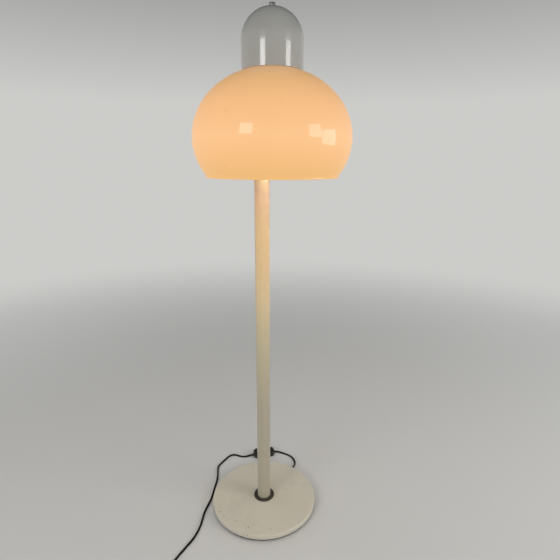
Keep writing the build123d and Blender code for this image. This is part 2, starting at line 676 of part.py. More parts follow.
# ---- Bulb: a brass screw cap and a frosted pear of thin glass, hanging base-up ----
cap_shoulder = bulb_top - BULB_CONTACT_HEIGHT
glass_neck_radius = BULB_CAP_RADIUS - BULB_WALL / 2
with BuildPart() as bulb_cap:
    with BuildSketch(head_section):
        with BuildLine():
            Polyline((0, bulb_top), (BULB_CONTACT_RADIUS, bulb_top), (BULB_CONTACT_RADIUS, cap_shoulder),
                     (BULB_CAP_RADIUS, cap_shoulder - BULB_CONTACT_HEIGHT), (BULB_CAP_RADIUS, bulb_neck),
                     (0, bulb_neck), close=True)
        make_face()
    revolve(axis=head_axis)
bulb_cap.part.label = "bulb_cap"

with BuildPart() as bulb_glass:
    for inset, bulb_mode in ((0, Mode.ADD), (BULB_WALL, Mode.SUBTRACT)):
        with BuildSketch(head_section):
            with BuildLine():
                Spline((glass_neck_radius - inset, bulb_neck), (BULB_RADIUS - inset, bulb_mid),
                       tangents=((0, -1), (0, -1)))
                CenterArc((0, bulb_mid), BULB_RADIUS - inset, 0, -90)
                Polyline((0, bulb_tip + inset), (0, bulb_neck), (glass_neck_radius - inset, bulb_neck))
            make_face()
        revolve(axis=head_axis, mode=bulb_mode)
bulb_glass.part.label = "bulb_glass"

# ---- Lead: the flex inside the lamp, from the bush up the pole and down into the holder ----
arch_level = carrier_top + LEAD_ARCH
settle_level = pole_top - TOP_PLUG_LENGTH - LEAD_SETTLE
lead_points = [
    exit_direction * plinth_bore + Vector(0, 0, slot_level),
    exit_direction * (plinth_bore - LEAD_STRAIGHT) + Vector(0, 0, slot_level),
    exit_direction * (clamp_radius + CLAMP_WIDTH) + Vector(0, 0, lead_level),
    exit_direction * LEAD_OFFSET + Vector(0, 0, lead_level),
    exit_direction * LEAD_OFFSET + Vector(0, 0, cover_top + 2 * FOOT_PLUG_LENGTH),
    Vector(0, 0, settle_level),
    Vector(0, 0, arch_level),
    Vector(HEAD_X, HEAD_Y, arch_level),
    Vector(HEAD_X, HEAD_Y, insert_top),
]
lead_radii = [LEAD_BEND, LEAD_BEND, LEAD_BEND, LEAD_ARCH, LEAD_ARCH, LEAD_ARCH_BEND, LEAD_ARCH_BEND]
with BuildPart() as inner_lead:
    with BuildLine():
        lead_line = FilletPolyline(*lead_points, radius=lead_radii)
    with BuildSketch(Plane(lead_line @ 0, z_dir=lead_line % 0)):
        Circle(LEAD_RADIUS)
    sweep()
inner_lead.part.label = "inner_lead"


# ---- Free cord: the black flat flex on the floor, as a plain tube ----
def cord_tube(points):
    """Sweep the cord's round section along straight runs joined by the largest arcs they allow."""
    ends = [Vector(point) for point in points]
    runs = [after - before for before, after in zip(ends, ends[1:])]
    turns = [math.radians(first.get_angle(second)) for first, second in zip(runs, runs[1:])]
    radii = [CORD_ARC_SHARE * min(first.length, second.length) / math.tan(turn / 2)
             for first, second, turn in zip(runs, runs[1:], turns)]
    print("cord radii", [round(radius) for radius in radii])
    with BuildPart() as tube:
        with BuildLine():
            route = FilletPolyline(*ends, radius=radii)
        with BuildSketch(Plane(route @ 0, z_dir=route % 0)):
            Circle(CORD_RADIUS)
        sweep()
    filled = tube.part.volume / (math.pi * CORD_RADIUS ** 2 * route.length)
    print("cord length", round(route.length, 1), "volume over section times length", round(filled, 4))
    return tube


switch_plane = Plane((SWITCH_X, SWITCH_Y, 0), x_dir=Vector(1, 0, 0).rotate(Axis.Z, SWITCH_TURN))
switch_port_level = SWITCH_WALL + CORD_RADIUS + SEAT + FIT
switch_lead_in = 8.0
switch_mouth = SWITCH_LENGTH / 2 + switch_lead_in
block_face = BLOCK_LENGTH / 2 + FIT
port_right = switch_plane.from_local_coords((switch_mouth, 0, switch_port_level))
port_left = switch_plane.from_local_coords((-switch_mouth, 0, switch_port_level))
block_right = switch_plane.from_local_coords((block_face, 0, switch_port_level))
block_left = switch_plane.from_local_coords((-block_face, 0, switch_port_level))
bush_mouth = exit_direction * bush_tip + Vector(0, 0, cord_level)

cord_to_switch = cord_tube([
    bush_mouth,
    bush_mouth + exit_direction * CORD_LEAD_OUT,
    (96.2, 142, cord_level),
    (96.8, 152.5, cord_level),
    (94.5, 165, cord_level),
    (88.5, 177, cord_level),
    (78.5, 187, cord_level),
    (66, 194.5, cord_level),
    (53.5, 200, cord_level),
    port_right,
    block_right,
])
cord_to_switch.part.label = "cord_to_switch"

coil_bottom = TIE_SHEET + SEAT
coil_outer_turn = COIL_RADIUS + CORD_RADIUS * (COIL_TURNS_WIDE - 1)
coil_height = 2 * CORD_RADIUS * COIL_LAYERS
coil_run_in = 12.0
cord_to_coil = cord_tube([
    block_left,
    port_left,
    (-50, 184.8, 4),
    (-62, 183.8, cord_level),
    (-75, 186.5, cord_level),
    (-84.5, 191.5, cord_level),
    (-95, 193, cord_level),
    (-105, 190.5, cord_level),
    (-113.5, 184, cord_level),
    (-124, 168, cord_level),
    (-138.5, 144, cord_level),
    (-140.5, 124, cord_level),
    (-138, 103, cord_level),
    (-138.5, 77, cord_level),
    (-142.5, 49, cord_level),
    (-145, 19, cord_level),
    (-151.5, -10, cord_level),
    (-160, -40, cord_level),
    (-162.5, -68, cord_level),
    (-166, -96, cord_level),
    (-176, -123, cord_level),
    (-190, -148, cord_level),
    (-204, -172, cord_level),
    (-218, -199, cord_level),
    (-231, -228, cord_level),
    (COIL_X - coil_outer_turn, COIL_Y + coil_run_in, coil_bottom + CORD_RADIUS),
])
cord_to_coil.part.label = "cord_to_coil"

# ---- Coil: the spare length as one ring of the outer shape of its turns, with a wire tie ----
coil_width = 2 * CORD_RADIUS * COIL_TURNS_WIDE
coil_axis = Axis((COIL_X, COIL_Y, 0), (0, 0, 1))
coil_section = Plane((COIL_X, COIL_Y, 0), x_dir=(1, 0, 0), z_dir=(0, -1, 0))
with BuildPart() as cord_coil:
    with BuildSketch(coil_section):
        with Locations((COIL_RADIUS, coil_bottom + coil_height / 2)):
            RectangleRounded(coil_width, coil_height, CORD_RADIUS)
    revolve(axis=coil_axis)
cord_coil.part.label = "cord_coil"

tie_play = 2 * SEAT
with BuildPart() as coil_tie:
    with BuildSketch(coil_section):
        with Locations((COIL_RADIUS, coil_bottom + coil_height / 2)):
            RectangleRounded(coil_width + 2 * (tie_play + TIE_SHEET), coil_height + 2 * (SEAT + TIE_SHEET),
                             CORD_RADIUS)
            RectangleRounded(coil_width + 2 * tie_play, coil_height + 2 * SEAT, CORD_RADIUS - TIE_SHEET,
                             mode=Mode.SUBTRACT)
    extrude(amount=TIE_WIDTH / 2, both=True)
coil_tie.part.label = "coil_tie"

# ---- Plug: a flat two-pin plug moulded on the cord's end, lying beside the coil ----
plug_level = PLUG_THICKNESS / 2
plug_y = COIL_Y - coil_outer_turn
tail_x = COIL_X + PLUG_GAP
body_x = tail_x + PLUG_TAIL
pin_x = body_x + PLUG_LENGTH
tail_width = 10.0
tail_height = 8.0
upper_turn_level = coil_bottom + coil_height - CORD_RADIUS
run_out_start = 6.0
run_out_end = 5.0
run_out_side = 1.0
run_out_drop = 0.8
plug_lead_in = 10.0
cord_to_plug = cord_tube([
    (COIL_X - run_out_start, plug_y + run_out_side, upper_turn_level),
    (COIL_X + run_out_end, plug_y, upper_turn_level - run_out_drop),
    (tail_x - plug_lead_in, plug_y, plug_level),
    (tail_x, plug_y, plug_level),
])
cord_to_plug.part.label = "cord_to_plug"

with BuildPart() as plug_body:
    with BuildSketch(Plane((body_x, plug_y, 0))):
        with BuildLine():
            Polyline((0, PLUG_REAR_WIDTH / 2), (PLUG_SHOULDER, PLUG_WIDTH / 2),
                     (PLUG_LENGTH, PLUG_WIDTH / 2), (PLUG_LENGTH, -PLUG_WIDTH / 2),
                     (PLUG_SHOULDER, -PLUG_WIDTH / 2), (0, -PLUG_REAR_WIDTH / 2), close=True)
        make_face()
    extrude(amount=PLUG_THICKNESS)
    fillet(plug_body.edges().filter_by(Axis.Z), 2 * PLUG_EDGE)
    fillet(plug_body.faces().filter_by(Axis.Z).edges(), PLUG_EDGE)
    with BuildSketch(Plane((tail_x, plug_y, plug_level), x_dir=(0, 1, 0), z_dir=(1, 0, 0))):
        RectangleRounded(2 * CORD_RADIUS + 2 * FIT, 2 * CORD_RADIUS, CORD_RADIUS - FIT)
    with BuildSketch(Plane((body_x + PLUG_EDGE, plug_y, plug_level), x_dir=(0, 1, 0), z_dir=(1, 0, 0))):
        RectangleRounded(tail_width, tail_height, CORD_RADIUS)
    loft()
plug_body.part.label = "plug_body"

pin_edge = 1.0
pin_plane = Plane((pin_x, plug_y, plug_level), x_dir=(0, 1, 0), z_dir=(1, 0, 0))
with BuildPart() as plug_pins:
    with BuildSketch(pin_plane):
        with Locations((-PIN_PITCH / 2, 0), (PIN_PITCH / 2, 0)):
            Circle(PIN_RADIUS)
    extrude(amount=PIN_LENGTH)
    fillet(plug_pins.edges().group_by(Axis.X)[-1], pin_edge)
plug_pins.part.label = "plug_pins"

# ---- Foot switch: a black housing with round corners on a base plate, two screws from below ----
housing_top = SWITCH_HEIGHT
ceiling_level = housing_top - SWITCH_WALL
boss_x = 18.0
boss_y = 11.0
boss_radius = 3.2
case_screw_radius = 1.25
case_screw_head_radius = 2.4
case_screw_head_height = 1.0
case_screw_length = 8.0
boss_places = ((boss_x, -boss_y), (-boss_x, boss_y))
with BuildPart() as switch_base:
    with BuildSketch(switch_plane):
        RectangleRounded(SWITCH_LENGTH - 2 * SWITCH_BASE_INSET, SWITCH_WIDTH - 2 * SWITCH_BASE_INSET,
                         SWITCH_CORNER - SWITCH_BASE_INSET)
        with Locations(*boss_places):
            Circle(case_screw_radius + HOLE_PLAY, mode=Mode.SUBTRACT)
    extrude(amount=SWITCH_WALL)
    with BuildSketch(switch_plane):
        with Locations(*boss_places):
            Circle(case_screw_head_radius + HOLE_PLAY)
    extrude(amount=case_screw_head_height + HOLE_PLAY, mode=Mode.SUBTRACT)
switch_base.part.label = "switch_base"

with BuildPart() as switch_housing:
    with BuildSketch(switch_plane.offset(SWITCH_WALL)):
        RectangleRounded(SWITCH_LENGTH, SWITCH_WIDTH, SWITCH_CORNER)
    extrude(amount=housing_top - SWITCH_WALL)
    fillet(switch_housing.edges().group_by(Axis.Z)[-1], SWITCH_EDGE)
    with BuildSketch(switch_plane.offset(SWITCH_WALL)):
        RectangleRounded(SWITCH_LENGTH - 2 * SWITCH_WALL, SWITCH_WIDTH - 2 * SWITCH_WALL,
                         SWITCH_CORNER - SWITCH_WALL)
    extrude(amount=ceiling_level - SWITCH_WALL, mode=Mode.SUBTRACT)
    with BuildSketch(switch_plane.offset(SWITCH_WALL)):
        with Locations(*boss_places):
            Circle(boss_radius)
    extrude(amount=ceiling_level - SWITCH_WALL)
    with BuildSketch(switch_plane.offset(SWITCH_WALL)):
        with Locations(*boss_places):
            Circle(case_screw_radius + FIT)
    extrude(amount=case_screw_length, mode=Mode.SUBTRACT)
    with BuildSketch(switch_plane.offset(ceiling_level)):
        Circle(BUTTON_RADIUS + SLIDE_PLAY)
    extrude(amount=SWITCH_WALL, mode=Mode.SUBTRACT)
    with BuildSketch(Plane(switch_plane.from_local_coords((0, 0, switch_port_level)),
                           x_dir=(0, 0, 1), z_dir=switch_plane.x_dir)):
        Circle(CORD_RADIUS + FIT)
        Rectangle(switch_port_level - SWITCH_WALL, 2 * (CORD_RADIUS + FIT),
                  align=(Align.MAX, Align.CENTER))
    extrude(amount=SWITCH_LENGTH / 2, both=True, mode=Mode.SUBTRACT)
switch_housing.part.label = "switch_housing"

with BuildPart() as switch_screws:
    with BuildSketch(switch_plane.offset(HOLE_PLAY)):
        with Locations(*boss_places):
            Circle(case_screw_head_radius)
    extrude(amount=case_screw_head_height)
    with BuildSketch(switch_plane.offset(HOLE_PLAY)):
        with Locations(*boss_places):
            Circle(case_screw_radius)
    extrude(amount=case_screw_length)
switch_screws.part.label = "switch_screws"

# ---- Button: a round push button, held by its flange under the housing's top ----
flange_top = ceiling_level - SLIDE_PLAY
flange_bottom = flange_top - BUTTON_FLANGE
button_top = housing_top + BUTTON_STAND
button_ceiling = button_top - SWITCH_WALL
with BuildPart() as switch_button:
    with BuildSketch(switch_plane.offset(flange_top)):
        Circle(BUTTON_RADIUS)
    extrude(amount=button_top - flange_top)
    fillet(switch_button.edges().group_by(Axis.Z)[-1], BUTTON_EDGE)
    with BuildSketch(switch_plane.offset(flange_top)):
        Circle(BUTTON_RADIUS + BUTTON_FLANGE_REACH)
    extrude(amount=-BUTTON_FLANGE)
    with BuildSketch(switch_plane.offset(flange_bottom)):
        Circle(BUTTON_POCKET_RADIUS)
    extrude(amount=button_ceiling - flange_bottom, mode=Mode.SUBTRACT)
switch_button.part.label = "switch_button"

# ---- Contact block: screwed terminals and the latching contacts, under the button ----
block_top = flange_bottom - BUTTON_TRAVEL - SLIDE_PLAY
block_corner = 1.0
with BuildPart() as switch_block:
    with BuildSketch(switch_plane.offset(SWITCH_WALL)):
        RectangleRounded(BLOCK_LENGTH, BLOCK_WIDTH, block_corner)
    extrude(amount=block_top - SWITCH_WALL)
switch_block.part.label = "switch_block"

# ---- Spring: a coil spring between the contact block and the button's pocket ----
spring_height = button_ceiling - block_top - 2 * SPRING_WIRE_RADIUS - SEAT
with BuildPart() as switch_spring:
    with BuildLine(switch_plane.offset(block_top + SPRING_WIRE_RADIUS + SEAT / 2)) as spring_line:
        Helix(spring_height / SPRING_TURNS, spring_height, SPRING_RADIUS)
    with BuildSketch(Plane(spring_line.line @ 0, z_dir=spring_line.line % 0)):
        Circle(SPRING_WIRE_RADIUS)
    sweep()
switch_spring.part.label = "switch_spring"

# ---- Export: one STEP file for each piece ----
os.makedirs("parts", exist_ok=True)
for piece in (
    base_cover, base_weight, base_plinth, plinth_screws, base_felt, base_washer, base_nut, foot_ring,
    pole, foot_plug, cord_bush, cord_clamp, clamp_screws, inner_lead,
    top_plug, head_carrier, carrier_screws, shade_gasket, shade, cap, cap_washer, finial_nut,
    cap_rod, rod_nuts, bridge_strap, bridge_screws,
    holder_nipple, nipple_nuts, lampholder, socket_insert, socket_shell, socket_contact,
    bulb_cap, bulb_glass,
    cord_to_switch, switch_base, switch_housing, switch_screws, switch_block, switch_button, switch_spring,
    cord_to_coil, cord_coil, coil_tie, cord_to_plug, plug_body, plug_pins,
):
    export_step(piece.part, f"parts/{piece.part.label}.step")
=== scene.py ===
import math

import bmesh
import bpy
import numpy as np
from mathutils import Matrix, Vector


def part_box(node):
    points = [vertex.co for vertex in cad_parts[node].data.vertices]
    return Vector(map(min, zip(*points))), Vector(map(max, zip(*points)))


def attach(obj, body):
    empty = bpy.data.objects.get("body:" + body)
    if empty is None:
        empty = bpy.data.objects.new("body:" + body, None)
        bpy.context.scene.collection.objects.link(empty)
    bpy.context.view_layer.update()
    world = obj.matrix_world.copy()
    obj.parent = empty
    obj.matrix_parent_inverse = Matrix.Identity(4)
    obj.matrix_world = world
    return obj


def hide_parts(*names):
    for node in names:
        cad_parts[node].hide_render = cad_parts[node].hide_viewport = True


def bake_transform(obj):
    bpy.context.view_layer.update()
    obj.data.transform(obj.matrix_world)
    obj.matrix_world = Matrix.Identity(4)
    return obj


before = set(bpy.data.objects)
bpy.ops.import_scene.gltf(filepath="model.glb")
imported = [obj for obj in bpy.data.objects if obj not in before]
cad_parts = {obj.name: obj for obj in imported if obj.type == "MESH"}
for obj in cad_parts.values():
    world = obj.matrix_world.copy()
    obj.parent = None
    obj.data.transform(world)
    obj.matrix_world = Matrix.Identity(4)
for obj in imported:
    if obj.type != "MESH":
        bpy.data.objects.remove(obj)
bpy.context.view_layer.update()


# ---- Studio: a pale floor that runs out into a pale wall, soft boxes and a grey ceiling ----
# The lamp stands on a plain floor. Four soft boxes light it and don't show in it. Three smaller
# ones only show in its gloss, as bright windows in the shade and upright strips in the cap.
def linear(red, green, blue):
    """Scene-linear colour of a screen colour with channels from 0 to 1: ((c + 0.055) / 1.055) ** 2.4."""
    return (*(((channel + 0.055) / 1.055) ** 2.4 for channel in (red, green, blue)), 1.0)


def feed(tree, socket, value):
    """Set an input socket to a plain value, or join another node's output to it."""
    if isinstance(value, bpy.types.NodeSocket):
        tree.links.new(value, socket)
    else:
        socket.default_value = value


def node(tree, kind, **settings):
    """A new node in a node tree, with its settings and its inputs, by their names."""
    made = tree.nodes.new(kind)
    for key, value in settings.items():
        if hasattr(made, key):
            setattr(made, key, value)
        else:
            feed(tree, made.inputs[key.replace("_", " ")], value)
    return made


def arithmetic(tree, operation, first, second):
    """A Math node. Each of its two inputs is a plain number or another node's output."""
    made = node(tree, "ShaderNodeMath", operation=operation)
    feed(tree, made.inputs[0], first)
    feed(tree, made.inputs[1], second)
    return made.outputs[0]


def spread(tree, value, low, high, to_low=0.0, to_high=1.0, **settings):
    """A value between low and high, spread over the range from to_low to to_high."""
    made = node(tree, "ShaderNodeMapRange", Value=value, From_Min=low, From_Max=high, To_Min=to_low,
                To_Max=to_high, **settings)
    return made.outputs[0]


def mix(tree, factor, first, second):
    """A colour between two colours. Each input is a plain value or another node's output."""
    return node(tree, "ShaderNodeMix", data_type="RGBA", Factor=factor, A=first, B=second).outputs["Result"]


def mix_shaders(tree, factor, first, second):
    """A shader between the outputs of two shader nodes."""
    made = node(tree, "ShaderNodeMixShader")
    for socket, value in zip(made.inputs, (factor, first.outputs[0], second.outputs[0])):
        feed(tree, socket, value)
    return made


def seen_by(tree, *kinds):
    """1 where a ray is of one of these kinds, and 0 elsewhere."""
    rays = node(tree, "ShaderNodeLightPath")
    flag = rays.outputs[f"Is {kinds[0]} Ray"]
    for kind in kinds[1:]:
        flag = arithmetic(tree, "MAXIMUM", flag, rays.outputs[f"Is {kind} Ray"])
    return flag


def spot_on(tree):
    """The place of a point in the piece's own coordinates."""
    return node(tree, "ShaderNodeTexCoord").outputs["Object"]


def level_on(tree):
    """The height of a point in the piece's own coordinates."""
    return node(tree, "ShaderNodeSeparateXYZ", Vector=spot_on(tree)).outputs["Z"]


def ramp(tree, stops, factor):
    """A colour ramp through (place, colour) stops, read at a factor."""
    made = node(tree, "ShaderNodeValToRGB")
    made.color_ramp.elements[0].position, made.color_ramp.elements[0].color = stops[0]
    made.color_ramp.elements[1].position, made.color_ramp.elements[1].color = stops[-1]
    for place, colour in stops[1:-1]:
        made.color_ramp.elements.new(place).color = colour
    feed(tree, made.inputs["Fac"], factor)
    return made.outputs["Color"]


WALL = linear(0.80, 0.80, 0.79)
CEILING = linear(0.28, 0.29, 0.30)
FLOOR = linear(0.80, 0.80, 0.79)
AMBIENT = 0.43
WALL_TOP = 0.12
CEILING_EDGE = 0.55
FLOOR_FADE_START = 0.8
FLOOR_FADE_END = 3.2
FLOOR_REACH = 40.0
BOX_AIM = (0.02, -0.05, 0)

world = bpy.data.worlds.new("studio")
bpy.context.scene.world = world
world.use_nodes = True
tree = world.node_tree
tree.nodes.clear()
view_way = node(tree, "ShaderNodeTexCoord").outputs["Generated"]
height = node(tree, "ShaderNodeSeparateXYZ", Vector=view_way).outputs["Z"]
room = ramp(tree, [(0.0, WALL), (WALL_TOP, WALL), (CEILING_EDGE, CEILING), (1.0, CEILING)], height)
ambient = node(tree, "ShaderNodeBackground", Color=(1, 1, 1, 1), Strength=AMBIENT)
backdrop = node(tree, "ShaderNodeBackground", Color=room)
lit_room = mix_shaders(tree, seen_by(tree, "Camera", "Glossy", "Transmission"), ambient, backdrop)
node(tree, "ShaderNodeOutputWorld", Surface=lit_room.outputs[0])

floor_mesh = bpy.data.meshes.new("floor")
corners = [(x * FLOOR_REACH, y * FLOOR_REACH, 0) for x, y in ((-1, -1), (1, -1), (1, 1), (-1, 1))]
floor_mesh.from_pydata(corners, [], [(0, 1, 2, 3)])
floor = bpy.data.objects.new("floor", floor_mesh)
bpy.context.scene.collection.objects.link(floor)
floor_paint = bpy.data.materials.new("floor_paint")
floor_paint.use_nodes = True
tree = floor_paint.node_tree
paint = tree.nodes["Principled BSDF"]
paint.inputs["Base Color"].default_value = FLOOR
paint.inputs["Roughness"].default_value = 0.75
away = node(tree, "ShaderNodeVectorMath", operation="LENGTH", Vector=spot_on(tree)).outputs["Value"]
fade = spread(tree, away, FLOOR_FADE_START, FLOOR_FADE_END, interpolation_type="SMOOTHSTEP")
fade = arithmetic(tree, "MULTIPLY", fade, seen_by(tree, "Camera", "Glossy"))
far = mix_shaders(tree, fade, paint, node(tree, "ShaderNodeEmission", Color=WALL))
below = node(tree, "ShaderNodeNewGeometry").outputs["Backfacing"]
one_sided = mix_shaders(tree, below, far, node(tree, "ShaderNodeBsdfTransparent"))
feed(tree, tree.nodes["Material Output"].inputs["Surface"], one_sided.outputs[0])
floor_mesh.materials.append(floor_paint)


def soft_box(name, place, width, height, watts, shows):
    """A soft box turned level towards the head. It either lights the surfaces or only shows in them."""
    lamp = bpy.data.lights.new(name, "AREA")
    lamp.shape = "RECTANGLE"
    lamp.size, lamp.size_y = width, height
    lamp.energy = watts
    made = bpy.data.objects.new(name, lamp)
    bpy.context.scene.collection.objects.link(made)
    aim = Vector((place[0], place[1], 0)) - Vector(BOX_AIM)
    made.matrix_world = Matrix.Translation(place) @ aim.to_track_quat("Z", "Y").to_matrix().to_4x4()
    made.visible_camera = False
    made.visible_glossy = shows
    made.visible_diffuse = not shows


soft_box("key_left", (-1.35, -1.55, 1.05), 1.1, 0.9, 17, False)
soft_box("key_right", (1.90, -0.85, 1.00), 1.1, 0.9, 18, False)
soft_box("key_side", (1.90, 0.90, 1.20), 1.0, 0.9, 4, False)
soft_box("key_rear", (-1.80, 1.10, 1.20), 1.0, 0.9, 4, False)
soft_box("window_left", (-0.71, -1.085, 1.25), 0.39, 0.387, 3.6, True)
soft_box("window_right", (1.48, -1.00, 1.26), 0.56, 0.58, 6.6, True)
soft_box("window_side", (1.71, -0.37, 1.00), 0.75, 0.58, 8.5, True)

# The camera stands at the height of the pole's upper part, a metre away, and looks down a little.
CAMERA_PLACE = (0.0, -1.0126, 0.9094)
CAMERA_DOWN = math.radians(15.12)
CAMERA_RIGHT = math.radians(2.385)
CAMERA_ROLL = math.radians(0.21)
LENS = 27.92
SENSOR = 36.0
camera_data = bpy.data.cameras.new("camera")
camera_data.lens = LENS
camera_data.sensor_width = SENSOR
camera = bpy.data.objects.new("camera", camera_data)
bpy.context.scene.collection.objects.link(camera)
ahead = Vector((math.sin(CAMERA_RIGHT) * math.cos(CAMERA_DOWN),
                math.cos(CAMERA_RIGHT) * math.cos(CAMERA_DOWN), -math.sin(CAMERA_DOWN)))
level = Vector((math.cos(CAMERA_RIGHT), -math.sin(CAMERA_RIGHT), 0))
upward = level.cross(ahead)
camera_side = math.cos(CAMERA_ROLL) * level + math.sin(CAMERA_ROLL) * upward
camera_top = math.cos(CAMERA_ROLL) * upward - math.sin(CAMERA_ROLL) * level
turned_camera = Matrix((camera_side, camera_top, -ahead)).transposed().to_4x4()
camera.matrix_world = Matrix.Translation(CAMERA_PLACE) @ turned_camera
bpy.context.scene.camera = camera
bpy.context.scene.view_settings.view_transform = "Standard"


# ---- Base cover: a pressed steel dish turned over the iron weight, cream lacquer, gloss ----
# The sheet is pressed with a rounded shoulder and hemmed at its lower edge. The lacquer has the
# fine ripple of sprayed paint, dust in it, and chips down to the primer round the shoulder.
def rounded(corners, radii, steps=8):
    """
    Outline of a polygon whose corners are rounded.

    At a corner with the unit directions u and v to its neighbours and the angle w between them, the
    arc starts r / tan(w / 2) from the corner along u and ends as far along v. Its centre lies on the
    bisector, r / sin(w / 2) from the corner, and its points turn evenly about that centre. One more
    point stands beside each end of the arc, so that the flat next to it stays flat when shaded.
    """
    corners = np.asarray(corners, float)
    points = []
    befores, afters = np.roll(corners, 1, 0), np.roll(corners, -1, 0)
    for corner, before, after, radius in zip(corners, befores, afters, radii):
        if radius == 0:
            points.append(corner)
            continue
        u = (before - corner) / np.linalg.norm(before - corner)
        v = (after - corner) / np.linalg.norm(after - corner)
        half = math.acos(np.clip(u @ v, -1, 1)) / 2
        reach = radius / math.tan(half)
        centre = corner + (u + v) / np.linalg.norm(u + v) * radius / math.sin(half)
        start, end = corner + u * reach - centre, corner + v * reach - centre
        turn = math.pi - 2 * half
        share = np.linspace(0, 1, steps + 1)[:, None]
        arc = centre + (start * np.sin((1 - share) * turn) + end * np.sin(share * turn)) / math.sin(turn)
        points += [centre + start + 0.12 * radius * u, *arc, centre + end + 0.12 * radius * v]
    return np.array(points)


def surface(name, grid, loop=False, sharp=35):
    """
    Mesh on a grid of points, where row j is one closed ring of points.

    The quad between rings j and j + 1 and points i and i + 1 faces outwards where the rings run
    anticlockwise and the rows go up. With loop the last ring joins the first. A ring that has shrunk
    to a point is welded into a pole.
    """
    rows, around, _ = grid.shape
    number = np.arange(rows * around).reshape(rows, around)
    lower = number if loop else number[:-1]
    upper = np.roll(number, -1, 0) if loop else number[1:]
    faces = np.stack([lower, np.roll(lower, -1, 1), np.roll(upper, -1, 1), upper], -1).reshape(-1, 4)
    mesh = bpy.data.meshes.new(name)
    mesh.from_pydata(grid.reshape(-1, 3).tolist(), [], faces.tolist())
    welded = bmesh.new()
    welded.from_mesh(mesh)
    bmesh.ops.remove_doubles(welded, verts=welded.verts, dist=1e-7)
    welded.to_mesh(mesh)
    welded.free()
    mesh.shade_smooth()
    mesh.set_sharp_from_angle(angle=math.radians(sharp))
    piece = bpy.data.objects.new(name, mesh)
    bpy.context.scene.collection.objects.link(piece)
    return piece


def turned(name, outline, axis=(0.0, 0.0), around=192, loop=True, sharp=35):
    """
    Body turned round an upright axis. Outline point j is (radius, height), and ring j holds the
    points (x + r cos a, y + r sin a, h) for even angles a. The outline runs anticlockwise, with the
    solid on its left, and is a loop or starts and ends on the axis.
    """
    angle = np.linspace(0, 2 * math.pi, around, endpoint=False)
    radius, height = outline[:, :1], outline[:, 1:]
    ring_x = axis[0] + radius * np.cos(angle)
    ring_y = axis[1] + radius * np.sin(angle)
    grid = np.stack([ring_x, ring_y, np.broadcast_to(height, ring_x.shape)], -1)
    return surface(name, grid, loop, sharp)


def fit(piece, material, body, slot, *nodes):
    """Give a piece its material and body, and hide the nodes that it stands for. The slot is not used."""
    piece.data.materials.append(material)
    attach(piece, body)
    if nodes:
        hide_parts(*nodes)


def group(name, inputs, outputs):
    """An empty shader node group with named sockets. Returns its tree and its input and output nodes."""
    tree = bpy.data.node_groups.new(name, "ShaderNodeTree")
    for label, kind, value in inputs:
        socket = tree.interface.new_socket(label, in_out="INPUT", socket_type=f"NodeSocket{kind}")
        socket.default_value = value
    for label, kind in outputs:
        tree.interface.new_socket(label, in_out="OUTPUT", socket_type=f"NodeSocket{kind}")
    return tree, node(tree, "NodeGroupInput"), node(tree, "NodeGroupOutput")


def put_out(tree, made, **values):
    """Lead values to a group's output sockets."""
    for key, value in values.items():
        feed(tree, made.inputs[key], value)


def placed(tree, shared, **values):
    """A shared group placed in a material with that material's own values."""
    return node(tree, "ShaderNodeGroup", node_tree=shared, **values)


def finish(name, **sockets):
    """A new material, its tree and its Principled shader, whose sockets take the plain values given."""
    material = bpy.data.materials.new(name)
    material.use_nodes = True
    tree = material.node_tree
    shader = tree.nodes["Principled BSDF"]
    for key, value in sockets.items():
        shader.inputs[key.replace("_", " ")].default_value = value
    return material, tree, shader


def bumped(tree, height, shader, distance, coat=False):
    """Lead a height through a Bump node into a shader's normal, and into its coat's normal too if asked."""
    bump = node(tree, "ShaderNodeBump", Strength=1.0, Distance=distance, Height=height).outputs[0]
    feed(tree, shader.inputs["Normal"], bump)
    if coat:
        feed(tree, shader.inputs["Coat Normal"], bump)


def skinned(tree, shader, skin, colour, ripple, coat=False):
    """Lead a colour and a skin group's roughness and height into a shader."""
    feed(tree, shader.inputs["Base Color"], colour)
    feed(tree, shader.inputs["Roughness"], skin.outputs["Roughness"])
    bumped(tree, skin.outputs["Height"], shader, ripple, coat)


# Sprayed lacquer: clouds in the colour, the ripple of the spray, and dust and dirt in the skin.
lacquer_skin, given, made = group(
    "lacquer_skin",
    [("Color", "Color", (0.5, 0.5, 0.5, 1)), ("Dirt Color", "Color", (0.2, 0.17, 0.12, 1)),
     ("Dirt", "Float", 0.3), ("Roughness", "Float", 0.3)],
    [("Color", "Color"), ("Roughness", "Float"), ("Height", "Float")],
)
spot = spot_on(lacquer_skin)
clouds = node(lacquer_skin, "ShaderNodeTexNoise", Vector=spot, Scale=9.0, Detail=8.0, Roughness=0.75)
ripple = node(lacquer_skin, "ShaderNodeTexNoise", Vector=spot, Scale=420.0, Detail=1.0, Roughness=0.4)
grains = node(lacquer_skin, "ShaderNodeTexVoronoi", Vector=spot, Scale=260.0, Randomness=1.0)
strewn = node(lacquer_skin, "ShaderNodeTexNoise", Vector=spot, Scale=31.0, Detail=2.0)
grain = arithmetic(lacquer_skin, "LESS_THAN", grains.outputs["Distance"], 0.16)
picked = arithmetic(lacquer_skin, "GREATER_THAN", strewn.outputs["Fac"], 0.62)
dirt = arithmetic(lacquer_skin, "MULTIPLY", grain, picked)
dirt = arithmetic(lacquer_skin, "MULTIPLY", dirt, given.outputs["Dirt"])
tone = spread(lacquer_skin, clouds.outputs["Fac"], 0.3, 0.7, 0.985, 1.012)
clouded = node(lacquer_skin, "ShaderNodeVectorMath", operation="SCALE", Scale=tone)
feed(lacquer_skin, clouded.inputs[0], given.outputs["Color"])
dulled = arithmetic(lacquer_skin, "MULTIPLY", clouds.outputs["Fac"], 0.12)
dulled = arithmetic(lacquer_skin, "ADD", dulled, given.outputs["Roughness"])
